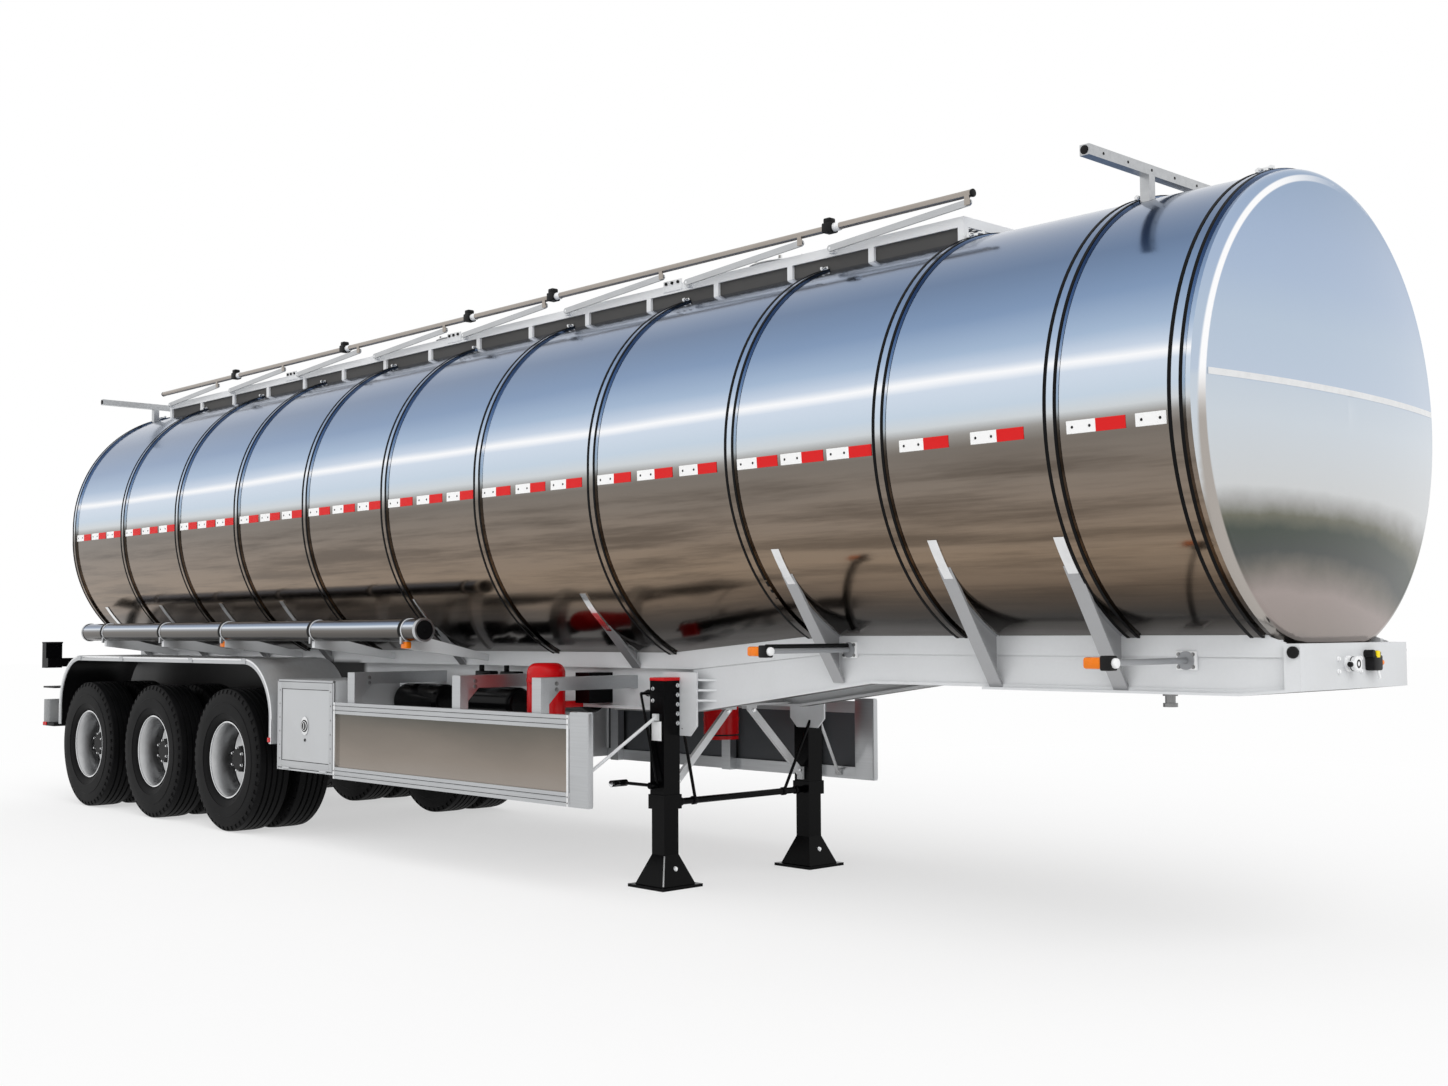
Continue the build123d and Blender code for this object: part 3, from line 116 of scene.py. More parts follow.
class Net:
    """A socket in a node tree; arithmetic on it adds Math nodes."""

    def __init__(self, tree, socket=None):
        self.tree = tree
        self.socket = socket

    def feed(self, entry, value):
        """Links a socket to an entry, or sets the entry's own value."""
        if isinstance(value, Net):
            self.tree.links.new(value.socket, entry)
        else:
            entry.default_value = value

    def node(self, kind, sockets=(), out=0, stops=(), **settings):
        """Adds a node: settings, ramp stops, then sockets; gives its output, or each of several."""
        made = self.tree.nodes.new("ShaderNode" + kind)
        for name, value in settings.items():
            setattr(made, name, value)
        for _ in stops[2:]:
            made.color_ramp.elements.new(0.5)
        for k, (place, colour) in enumerate(stops):
            made.color_ramp.elements[k].position = place
            made.color_ramp.elements[k].color = colour
        for key, value in dict(sockets).items():
            self.feed(made.inputs[key], value)
        if isinstance(out, tuple):
            return [Net(self.tree, made.outputs[key]) for key in out]
        return Net(self.tree, made.outputs[out])

    def maths(self, operation, first, second=0.0, third=0.0):
        return self.node("Math", {0: first, 1: second, 2: third}, operation=operation)

    def __add__(self, other):
        return self.maths("ADD", self, other)

    __radd__ = __add__

    def __sub__(self, other):
        return self.maths("SUBTRACT", self, other)

    def __rsub__(self, other):
        return self.maths("SUBTRACT", other, self)

    def __mul__(self, other):
        return self.maths("MULTIPLY", self, other)

    __rmul__ = __mul__

    def __truediv__(self, other):
        return self.maths("DIVIDE", self, other)

    def __rtruediv__(self, other):
        return self.maths("DIVIDE", other, self)

    def __pow__(self, other):
        return self.maths("POWER", self, other)

    def __rpow__(self, other):
        return self.maths("POWER", other, self)

    def __abs__(self):
        return self.maths("ABSOLUTE", self)

    def step(self, low, high):
        """A smooth step from 0 at low to 1 at high."""
        return self.node(
            "MapRange", {0: self, 1: low, 2: high, 3: 0.0, 4: 1.0}, interpolation_type="SMOOTHSTEP"
        )

    def mix(self, first, second):
        """A colour between two, with this value as the share of the second."""
        return self.node("Mix", {0: self, 6: first, 7: second}, out=2, data_type="RGBA")

    def ramp(self, stops):
        """A colour by this value, from stops with colours picked on screen."""
        return self.node("ValToRGB", {0: self}, stops=[(place, tone(*rgb)) for place, rgb in stops])

    def shown(self):
        """1 on rays that show the backdrop: to the camera, off metal or through glass."""
        seen, mirrored, through = self.node(
            "LightPath", out=("Is Camera Ray", "Is Glossy Ray", "Is Transmission Ray")
        )
        return self.maths("MAXIMUM", self.maths("MAXIMUM", seen, mirrored), through)


class Finish(Net):
    """A new material: its object coordinates, noises and one Principled shader."""

    def __init__(self, name):
        self.material = bpy.data.materials.new(name)
        self.material.use_nodes = True
        super().__init__(self.material.node_tree)
        self.shader = self.tree.nodes["Principled BSDF"]
        self.place = self.node("TexCoord", out="Object")
        self.x, self.y, self.z = self.node("SeparateXYZ", {0: self.place}, out=(0, 1, 2))

    def noise(self, scale, detail=3.0, stretch=(1.0, 1.0, 1.0), roughness=0.5):
        vector = self.node("Mapping", {"Vector": self.place, "Scale": stretch})
        return self.node(
            "TexNoise", {"Vector": vector, "Scale": scale, "Detail": detail, "Roughness": roughness}
        )

    def bump(self, height, strength, distance):
        return self.node("Bump", {"Height": height, "Strength": strength, "Distance": distance})

    def peel(self):
        """The fine orange peel of sprayed paint."""
        return self.bump(self.noise(320.0, 1.0), 0.05, 0.0006)

    def set(self, **sockets):
        """Sets the shader's sockets: links for what varies, plain values for the rest."""
        for name, value in sockets.items():
            self.feed(self.shader.inputs[name.replace("_", " ")], value)
        return self.material


# painted reflection on the cladding, by degrees down from the top of the tank
TANK_REFLECTION_TONES = (
    (0, (112, 129, 156)), (30, (102, 121, 150)), (48, (98, 120, 152)), (62, (128, 151, 183)),
    (71, (164, 184, 209)), (75.5, (200, 212, 228)), (77.5, (252, 252, 253)), (79.5, (206, 217, 231)),
    (85, (196, 210, 224)), (88.5, (206, 211, 214)), (91, (150, 147, 143)), (94, (120, 113, 106)),
    (108, (134, 121, 109)), (122, (140, 122, 104)), (131, (112, 96, 81)), (138, (70, 61, 53)),
    (143, (46, 42, 38)), (150, (94, 89, 85)), (158, (150, 147, 143)), (180, (118, 115, 111)),
)


def tank_painted_reflection():
    """Mirror cladding with a painted reflection: sky above, a bright streak, the horizon at mid height and
    ground below.
    """
    f = Finish("cladding_painted_reflection")
    long_wave = f.noise(1.0, 3.0, stretch=(0.35, 2.2, 2.2)) - 0.5
    ripple = f.noise(1.0, 4.0, stretch=(1.4, 14.0, 14.0), roughness=0.6) - 0.5
    angle = f.maths("ARCTAN2", abs(f.y), f.z - (TANK_Z - FLAT / 2)) / pi
    below = angle.step(0.5, 0.56)
    turned = angle + long_wave * 0.022 + ripple * below * 0.03
    colour = turned.ramp([(degrees / 180, rgb) for degrees, rgb in TANK_REFLECTION_TONES])
    # painted reflection: dark streaks of ground mixed into the lower half
    reflected_ground_streaks = f.noise(1.0, 5.0, stretch=(0.55, 11.0, 11.0), roughness=0.65).step(0.38, 0.72)
    shade = (reflected_ground_streaks * below).mix(colour, tone(58, 49, 41))
    return f.set(
        Base_Color=(below * 0.55).mix(colour, shade), Metallic=1.0, Roughness=f.noise(6.0) * 0.06 + 0.10,
        Normal=f.bump(f.noise(2.6, 2.0, stretch=(0.6, 1.5, 1.5)), 0.10, 0.004),
    )


# painted reflection on the heads, by height above ground
HEAD_REFLECTION_TONES = (
    (1.36, (104, 104, 104)), (1.50, (148, 139, 134)), (1.66, (160, 149, 145)), (1.77, (120, 116, 110)),
    (1.84, (84, 87, 85)), (1.93, (78, 84, 78)), (1.99, (112, 112, 100)), (2.05, (168, 168, 166)),
    (2.11, (205, 207, 208)), (2.40, (202, 210, 218)), (2.54, (196, 206, 217)), (2.57, (186, 199, 216)),
    (2.82, (180, 195, 213)), (3.04, (168, 185, 209)), (3.25, (160, 178, 204)), (3.60, (140, 161, 188)),
)


def head_painted_reflection():
    """The heads' painted reflection: sky, a hazy dark line low down and a pale apron under it; a painted
    highlight on the turned edge.
    """
    f = Finish("heads_painted_reflection")
    haze = f.noise(1.0, 4.0, stretch=(1.0, 2.2, 2.2), roughness=0.6) - 0.5
    ragged = f.noise(1.0, 5.0, stretch=(1.0, 4.5, 6.5), roughness=0.62) - 0.5
    low = 1 - f.z.step(1.85, 2.30)
    aside = f.y + 0.42
    bow = aside * aside * ((1 - f.z.step(1.60, 1.95)) * 0.10 + 0.07)
    height = f.z + bow * low + haze * 0.04 + ragged * low * 0.07
    bottom, span = HEAD_REFLECTION_TONES[0][0], HEAD_REFLECTION_TONES[-1][0] - HEAD_REFLECTION_TONES[0][0]
    colour = ((height - bottom) / span).ramp([((z - bottom) / span, rgb) for z, rgb in HEAD_REFLECTION_TONES])
    # painted highlight: a bright band near the head's rim, on the right side only, whiter higher up
    lifted = f.z - (TANK_Z - FLAT / 4)
    out = (f.y * f.y + lifted * lifted) ** 0.5
    edge = out.step(TANK_R - 0.042, TANK_R - 0.034) * (1 - out.step(TANK_R - 0.014, TANK_R - 0.006))
    edge = edge * (1 - f.y.step(-0.5, 0.25))
    edge_highlight_tone = f.z.step(2.35, 2.60).mix(tone(172, 166, 160), tone(252, 252, 253))
    return f.set(
        Base_Color=edge.mix(colour, edge_highlight_tone), Metallic=1.0, Roughness=f.noise(5.0) * 0.06 + 0.11,
        Normal=f.bump(f.noise(2.0, 2.0), 0.08, 0.004),
    )


# painted reflection on the hose tubes, by shares of the tube's height, from its bottom to its top
HOSE_REFLECTION_TONES = (
    (0.0, (84, 81, 78)), (0.125, (48, 45, 43)), (0.3, (74, 70, 66)), (0.5, (106, 102, 98)),
    (0.6, (146, 148, 151)), (0.68, (218, 224, 232)), (0.76, (134, 150, 173)), (0.875, (72, 86, 110)),
    (1.0, (100, 114, 136)),
)


def hose_painted_reflection():
    """The hose tubes' painted reflection by height: sky above, a bright streak and ground below."""
    f = Finish("tubes_painted_reflection")
    wave = f.noise(1.0, 3.0, stretch=(0.6, 5.0, 5.0)) - 0.5
    height = (f.z - HOSE_Z) / HOSE_R + wave * 0.14
    return f.set(
        Base_Color=(height * 0.5 + 0.5).ramp(HOSE_REFLECTION_TONES), Metallic=1.0,
        Roughness=f.noise(7.0) * 0.06 + 0.12, Normal=f.bump(f.noise(3.0, 2.0), 0.06, 0.003),
    )


# painted reflection of the ground on the guard panels, by shares of the panel's height
PANEL_REFLECTION_TONES = ((0.0, (150, 142, 134)), (0.35, (138, 129, 120)), (0.7, (118, 111, 103)), (1.0, (92, 90, 84)))


def panel_painted_reflection():
    """Polished guard panel with a painted reflection of the ground in it, darker towards the top, grey on
    the back.
    """
    f = Finish("guard_panel_painted_reflection")
    wave = f.noise(1.0, 4.0, stretch=(0.8, 1.0, 3.0)) - 0.5
    back = 1 - abs(f.y).step(1.2185, 1.2205)
    low, high = GUARD_RAILS[0][1], GUARD_RAILS[1][0]
    height = (f.z - low) / (high - low) + wave * 0.55
    return f.set(
        Base_Color=back.mix(height.ramp(PANEL_REFLECTION_TONES), tone(84, 86, 89)), Metallic=1.0,
        Roughness=f.noise(9.0) * 0.05 + back * 0.35 + 0.15,
        Normal=f.bump(f.noise(3.0, 2.0), 0.05, 0.003),
    )


def fender_sheet():
    """Bright sheet outside and black coating on the inside, told apart by depth under the arch."""
    f = Finish("fender_sheet")
    low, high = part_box("fenders")
    middle, half = (low.x + high.x) / 2, (high.x - low.x) / 2
    along_x = f.maths("MAXIMUM", abs(f.x - middle) - (half - ARCH_R), 0.0)
    up_z = f.maths("MAXIMUM", f.z - (high.z - ARCH_R), 0.0)
    depth = ARCH_R - (along_x * along_x + up_z * up_z) ** 0.5
    inside = depth.step(0.0038, 0.0046) * (1 - abs(f.y).step(HALF_WIDTH - 0.0085, HALF_WIDTH - 0.0075))
    lines = f.noise(1.0, 3.0, stretch=(2.0, 40.0, 40.0))
    cloud = f.noise(2.0, 4.0)
    sheet = (lines * 0.3 + cloud * 0.3).mix(tone(196, 198, 200), tone(150, 151, 152))
    return f.set(
        Base_Color=inside.mix(sheet, tone(14, 14, 15)), Metallic=(1 - inside) * 0.5,
        Roughness=lines * 0.14 + 0.26, Normal=f.bump(lines, 0.08, 0.0008), Specular_IOR_Level=0.15,
    )


DUST = (150, 146, 140)


def sprayed(f, colour, dust, grime, flake):
    """Clouded paint with dust low down: its colour, the dust and the cloud."""
    cloud = f.noise(2.2, 4.0)
    speck = f.noise(60.0, 2.0)
    low = 1 - f.z.step(0.25, 1.5)
    dirt = cloud.step(0.42, 0.74) * (low * grime + grime * 0.25)
    base = (cloud * 0.18 + speck * flake).mix(colour, tuple(0.82 * c for c in colour[:3]) + (1.0,))
    return dirt.mix(base, tone(*dust)), dirt, cloud


def painted(name, colour, rough=0.38, metal=0.0, dust=DUST, grime=0.25, flake=0.0, gloss=0.25):
    """Sprayed steel: faint orange peel, a little cloud in the colour and dust low down."""
    f = Finish(name)
    base, dirt, cloud = sprayed(f, colour, dust, grime, flake)
    return f.set(
        Base_Color=base, Metallic=metal, Roughness=cloud * 0.12 + (rough - 0.06) + dirt * 0.2,
        Normal=f.peel(), Specular_IOR_Level=gloss,
    )


def frame_paint(name, colour, shade):
    """The frame's silver paint with painted shade: greyer on faces turned along the trailer, black on faces
    turned down and low over the rear axles.
    """
    f = Finish(name)
    base, dirt, cloud = sprayed(f, colour, DUST, 0.2, 0.25)
    normal = f.node("NewGeometry", out="Normal")
    face_x, face_z = f.node("SeparateXYZ", {0: normal}, out=(0, 2))
    # painted shade: faces turned along the trailer go greyer by the shade share
    base = (abs(face_x).step(0.6, 0.9) * shade).mix(base, tone(118, 119, 121))
    # painted shade: faces turned down go black
    underside_shade = (0 - face_z).step(0.55, 0.8)
    # painted shade: black low on the frame behind the rear axles' front, where the wheel arches are in shade
    arch_shade = (1 - f.x.step(-1.68, -1.60)) * (1 - f.z.step(1.27, 1.315))
    dark = f.maths("MAXIMUM", underside_shade * 0.97, arch_shade)
    return f.set(
        Base_Color=dark.mix(base, tone(15, 15, 16)), Metallic=0.1,
        Roughness=cloud * 0.12 + 0.36 + dirt * 0.2, Normal=f.peel(), Specular_IOR_Level=0.25,
    )


def brushed(name, colour, rough=0.32, grain=(3.0, 120.0, 120.0)):
    """Drawn aluminium: fine lines along its length, with small scuffs."""
    f = Finish(name)
    lines = f.noise(1.0, 3.0, stretch=grain)
    cloud = f.noise(3.0, 4.0)
    worn = (lines * 0.5 + cloud * 0.3).mix(colour, tuple(0.7 * c for c in colour[:3]) + (1.0,))
    return f.set(
        Base_Color=worn, Metallic=1.0, Roughness=lines * 0.16 + (rough - 0.08),
        Normal=f.bump(lines, 0.10, 0.0008),
    )


def rubber(name, colour):
    """Black rubber with a grey bloom and fine grain."""
    f = Finish(name)
    bloom = f.noise(3.0, 5.0).step(0.4, 0.8)
    return f.set(
        Base_Color=(bloom * 0.35).mix(colour, tone(27, 27, 28)), Roughness=bloom * 0.12 + 0.55,
        Normal=f.bump(f.noise(220.0, 2.0), 0.18, 0.0008), Specular_IOR_Level=0.10,
    )


def lens(name, colour, deep):
    """Moulded lamp lens: fine prisms over a deeper tone."""
    f = Finish(name)
    prisms = f.node("TexWave", {"Vector": f.place, "Scale": 60.0, "Distortion": 0.4}, out=1)
    return f.set(
        Base_Color=(prisms * 0.5).mix(colour, deep), Roughness=f.noise(20.0) * 0.1 + 0.22,
        Normal=f.bump(prisms, 0.25, 0.001), Coat_Weight=0.2, Specular_IOR_Level=0.2,
    )


def studio_floor():
    """A pale floor that keeps the shadow, and turns to the white of the backdrop further out."""
    f = Finish("studio_floor")
    away = (f.x * f.x + f.y * f.y) ** 0.5
    glow = f.node("Emission", {"Color": tone(254, 254, 254), "Strength": 1.0})
    f.set(
        Base_Color=f.noise(0.6).mix(tone(246, 246, 246), tone(243, 243, 243)), Roughness=0.8,
        Specular_IOR_Level=0.0,
    )
    surface = Net(f.tree, f.shader.outputs[0])
    share = f.shown() * (away.step(4.5, 10.5) * 0.45 + 0.55)
    f.feed(f.tree.nodes["Material Output"].inputs[0], f.node("MixShader", {0: share, 1: surface, 2: glow}))
    return f.material


# mesh helpers

FINISHES = {}


def meshes(count):
    """Empty meshes, one for each piece of a group."""
    return [bmesh.new() for _ in range(count)]


def piece(name, bm, material, body=CHASSIS, smooth=True, replaces=()):
    """Makes one finished object from a mesh, riding on a body."""
    bmesh.ops.recalc_face_normals(bm, faces=bm.faces)
    mesh = bpy.data.meshes.new(name)
    bm.to_mesh(mesh)
    bm.free()
    if smooth:
        mesh.shade_smooth()
        mesh.set_sharp_from_angle(angle=SHARP_EDGE)
    mesh.materials.append(FINISHES[material])
    obj = bpy.data.objects.new(name, mesh)
    bpy.context.scene.collection.objects.link(obj)
    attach(obj, body)
    if replaces:
        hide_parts(*replaces)


def edges_of(verts):
    return list(dict.fromkeys(e for v in verts for e in v.link_edges))


def verts_in(geom):
    return [g for g in geom if isinstance(g, bmesh.types.BMVert)]


def rounded(bm, edges, offset):
    bmesh.ops.bevel(
        bm, geom=edges, offset=offset, affect="EDGES", segments=2, profile=0.5, material=-1,
        clamp_overlap=True,
    )


def block(bm, low, high, bevel=0.0, turn=None):
    """A box between two corners, its edges rounded, turned about its own middle if asked."""
    low, high = Vector(low), Vector(high)
    made = bmesh.ops.create_cube(bm, size=1.0)["verts"]
    matrix = Matrix.Translation((low + high) / 2)
    if turn:
        matrix = matrix @ turn
    size = Matrix.Diagonal((*(abs(c) for c in high - low), 1.0))
    bmesh.ops.transform(bm, matrix=matrix @ size, verts=made)
    if bevel:
        rounded(bm, edges_of(made), bevel)


def near(middle, half):
    """The reach of half to both sides of a middle."""
    return middle - half, middle + half


def slab(bm, side, xs, ys, zs, bevel=0.0):
    """A box on one side of the trailer, by its reach along x, out from the middle and up."""
    low, high = ((x, side * y, z) for x, y, z in zip(xs, ys, zs))
    block(bm, low, high, bevel)


def rod(bm, start, end, radius, segments=20, bevel=0.0, tip=None):
    """A round bar between two points, or a taper where tip gives the far radius."""
    start, end = Vector(start), Vector(end)
    made = bmesh.ops.create_cone(
        bm, cap_ends=True, segments=segments, radius1=radius, radius2=radius if tip is None else tip,
        depth=(end - start).length,
    )["verts"]
    turn = (end - start).to_track_quat("Z", "Y").to_matrix().to_4x4()
    bmesh.ops.transform(bm, matrix=Matrix.Translation((start + end) / 2) @ turn, verts=made)
    if bevel:
        rounded(bm, [e for e in edges_of(made) if any(len(f.verts) > 4 for f in e.link_faces)], bevel)


def bar(bm, side, start, end, *sizes, **options):
    """A rod on one side of the trailer, its ends given as for the left one."""
    start, end = ((x, side * y, z) for x, y, z in (start, end))
    rod(bm, start, end, *sizes, **options)


def spun(bm, profile, origin, axis=(0, 1, 0), steps=48, closed=True, angle=FULL_TURN):
    """Turns a half section of (across, radius) points about an axis through origin."""
    origin, axis = Vector(origin), Vector(axis)
    out = axis.orthogonal().normalized() if abs(axis.z) > 0.5 else Vector(UP)
    old = set(bm.verts)
    verts = [bm.verts.new(origin + axis * a + out * r) for a, r in profile]
    edges = [bm.edges.new(pair) for pair in zip(verts, verts[1:])]
    if closed:
        edges.append(bm.edges.new((verts[-1], verts[0])))
    whole = angle == FULL_TURN
    bmesh.ops.spin(
        bm, geom=verts + edges, cent=origin, axis=axis, angle=angle, steps=steps, use_merge=whole,
    )
    bmesh.ops.remove_doubles(bm, verts=[v for v in bm.verts if v not in old], dist=MERGE)
    if not whole:
        bmesh.ops.holes_fill(bm, edges=[e for e in bm.edges if e.is_boundary])


def spun_place(face, centre, steps):
    """A spun face's distance from the axle, its offset along it and its number round it."""
    mid = face.calc_center_median() - centre
    turn = round((atan2(mid.z, mid.x) / FULL_TURN + 1) * steps - 0.5) % steps
    return sqrt(mid.x**2 + mid.z**2), mid.y, turn


def plate(bm, points, thickness, normal):
    """A flat plate: a polygon's corners pushed out along a direction."""
    face = bm.faces.new([bm.verts.new(p) for p in points])
    made = bmesh.ops.extrude_face_region(bm, geom=[face])["geom"]
    bmesh.ops.translate(bm, verts=verts_in(made), vec=Vector(normal) * thickness)


def hoop(bm, x0, x1, radius, thickness):
    """A band round the tank between two stations, thickness outwards from radius."""
    drop = flat_at((x0 + x1) / 2)
    ring = bmesh.ops.create_circle(bm, cap_ends=False, segments=144, radius=radius)["verts"]
    place = Matrix.Translation((x0, 0, TANK_Z)) @ Matrix.Rotation(pi / 2, 4, "Y")
    bmesh.ops.transform(bm, matrix=place, verts=ring)
    bmesh.ops.translate(bm, verts=[v for v in ring if v.co.z < TANK_Z - MERGE], vec=(0, 0, -drop))
    wide = bmesh.ops.extrude_edge_only(bm, edges=edges_of(ring))["geom"]
    bmesh.ops.translate(bm, verts=verts_in(wide), vec=(x1 - x0, 0, 0))
    faces = [g for g in wide if isinstance(g, bmesh.types.BMFace)]
    bmesh.ops.recalc_face_normals(bm, faces=faces)
    if faces[0].normal.dot(faces[0].calc_center_median() - Vector((x0, 0, TANK_Z))) < 0:
        bmesh.ops.reverse_faces(bm, faces=faces)
    bmesh.ops.solidify(bm, geom=faces, thickness=-thickness)


def bolt(bm, at, direction, radius=0.009, height=0.008):
    """A hexagon head on a washer."""
    at, direction = Vector(at), Vector(direction).normalized()
    rod(bm, at, at + direction * height * 0.35, radius * 1.35, 10)
    rod(bm, at + direction * height * 0.3, at + direction * height, radius, 6)


def rivet(bm, at, direction, radius=0.007):
    """A low domed head."""
    at, direction = Vector(at), Vector(direction).normalized()
    rod(bm, at, at + direction * 0.003, radius, 8, tip=radius * 0.5)


def tank_point(x, degrees_down, rise):
    """A point over the cladding at an angle from the top towards +Y."""
    angle = radians(degrees_down)
    drop = flat_at(x) if abs(degrees_down) > 90 else 0.0
    return Vector((x, 0, TANK_Z - drop)) + Vector((0, sin(angle), cos(angle))) * (TANK_R + rise)


# the operators

class TankerTrim(bpy.types.PropertyGroup):
    """Sizes and colours of the trim that a user would change."""

    tape_height: FloatProperty(
        name="Tape height", description="Height of the marking tape", default=0.057, unit="LENGTH"
    )
    tape_level: FloatProperty(
        name="Tape level", description="Height of the tape's middle above ground", default=2.385,
        unit="LENGTH",
    )
    strip_width: FloatProperty(
        name="Strip width", description="Width of the rubber strips on each band", default=0.016,
        unit="LENGTH",
    )
    tread_depth: FloatProperty(
        name="Tread depth", description="Depth of the tyres' grooves", default=0.014, unit="LENGTH"
    )
    nut_count: IntProperty(name="Wheel nuts", description="Nuts on each hub", default=10)
    paint: FloatVectorProperty(
        name="Frame paint", description="Colour of the painted frame", subtype="COLOR", size=4,
        default=tone(222, 224, 226),
    )
    red: FloatVectorProperty(
        name="Red", description="Colour of the extinguisher cylinders", subtype="COLOR", size=4,
        default=tone(196, 10, 18),
    )


class TANKER_OT_finishes(bpy.types.Operator):
    """Makes the finishes and gives one to every solid of the frame"""

    bl_idname = "tanker.finishes"
    bl_label = "Finishes"

    def execute(self, context):
        trim = context.scene.tanker_trim
        paint = tuple(trim.paint)
        drawn, even = (6.0, 40.0, 40.0), (20.0, 20.0, 20.0)
        FINISHES.update(
            tank=tank_painted_reflection(),
            head=head_painted_reflection(),
            hose=hose_painted_reflection(),
            mirror=panel_painted_reflection(),
            fender=fender_sheet(),
            frame=frame_paint("frame_paint", paint, 0.14),
            # painted shade: the cradles take a darker copy of the frame paint, with more shade on faces
            # turned along the trailer
            web=frame_paint("cradle_paint_shaded", tone(170, 171, 173), 0.45),
            paint=painted("silver_paint", paint, rough=0.42, metal=0.15, flake=0.25),
            arm=painted("arm_paint", tone(150, 152, 155), rough=0.36, metal=0.2, grime=0.1),
            box=painted("toolbox_sheet", tone(190, 192, 194), rough=0.34, metal=0.3, grime=0.15),
            bumper=painted("bumper_paint", tone(140, 142, 144), rough=0.4, grime=0.3),
            # partly painted shade: the skirt plates under the walkway are dark grey for the shade in the gap
            # there
            shade=painted("walkway_skirt_shaded", tone(84, 83, 82), rough=0.6, grime=0.2, gloss=0.1),
            white=painted("white_paint", tone(236, 237, 238), rough=0.34, grime=0.1),
            black=painted(
                "black_paint", tone(4, 4, 5), rough=0.20, dust=(18, 18, 17), grime=0.12, gloss=0.08
            ),
            dark=painted(
                "dark_plastic", tone(16, 16, 17), rough=0.46, dust=(50, 48, 46), grime=0.12, gloss=0.18
            ),
            red=painted("red_paint", tuple(trim.red), rough=0.24, dust=(150, 90, 86), grime=0.06),
            yellow=painted("yellow_plastic", tone(240, 214, 20), rough=0.4, grime=0.05),
            tape_white=painted("tape_white", tone(244, 244, 244), rough=0.5, grime=0.04),
            tape_red=painted("tape_red", tone(214, 14, 16), rough=0.5, grime=0.04),
            guard=brushed("guard_aluminium", tone(196, 198, 200), rough=0.34),
            roof=brushed("roof_aluminium", tone(200, 202, 204), rough=0.36, grain=drawn),
            # painted shade: the deck mesh is a darker copy of the roof aluminium, for the walkway's shade
            # seen from below
            deck=brushed("deck_aluminium_shaded", tone(150, 151, 152), rough=0.45, grain=drawn),
            rail=brushed("rail_tube", tone(176, 168, 160), rough=0.3, grain=(4.0, 60.0, 60.0)),
            steel=brushed("machined_steel", tone(150, 150, 150), rough=0.30, grain=(60.0, 60.0, 4.0)),
            wheel=brushed("wheel_silver", tone(198, 199, 200), rough=0.36, grain=(12.0, 12.0, 12.0)),
            lip=brushed("rim_lip", tone(240, 241, 242), rough=0.16, grain=even),
            rubber=rubber("tyre_rubber", tone(10, 10, 11)),
            strip=rubber("strip_rubber", tone(9, 9, 10)),
            orange=lens("amber_lens", tone(238, 128, 10), tone(206, 88, 4)),
            lamp_red=lens("red_lens", tone(214, 16, 20), tone(140, 4, 8)),
            clear=lens("clear_lens", tone(232, 234, 236), tone(190, 194, 198)),
        )
        by_node = {
            "tank": ("tank_barrel", "tank_rings"),
            "hose": ("hose_tubes",),
            "head": ("tank_heads",),
            "paint": ("leg_braces", "hose_straps"),
            "arm": ("marker_lamps",),
            "web": ("cradles",),
            "frame": ("main_beams", "cross_members", "coupler_nose"),
            "box": ("toolboxes", "toolbox_door_left", "toolbox_door_right"),
            "bumper": ("rear_bumper",),
            "rail": ("handrail",),
            "fender": ("fenders",),
            "guard": ("guard_frames",),
            "mirror": ("guard_panels",),
            "roof": (
                "walkway_deck", "manhole_necks", "top_bars", "rear_ladder", "discharge_pipe",
                *(n for n in NODES if n.startswith(("manhole_lid_", "rail_strut_"))),
            ),
            "white": ("walkway_frame",),
            "black": (
                "leg_tubes", "leg_feet", "leg_shaft", "axle_beams", "leaf_springs", "spring_hangers",
                "air_tanks", "tail_lamps", "nose_fittings",
            ),
            "steel": ("kingpin",),
            "red": ("extinguishers",),
            "wheel": tuple(n for n in NODES if n.startswith("wheel_")),
            "rubber": tuple(n for n in NODES if n.startswith("tyres_")),
        }
        for name, nodes in by_node.items():
            for node in nodes:
                NODES[node].data.materials.clear()
                NODES[node].data.materials.append(FINISHES[name])
        bare = sorted(set(NODES) - {n for nodes in by_node.values() for n in nodes})
        if bare:
            raise RuntimeError(f"no finish for {bare}")
        return {"FINISHED"}


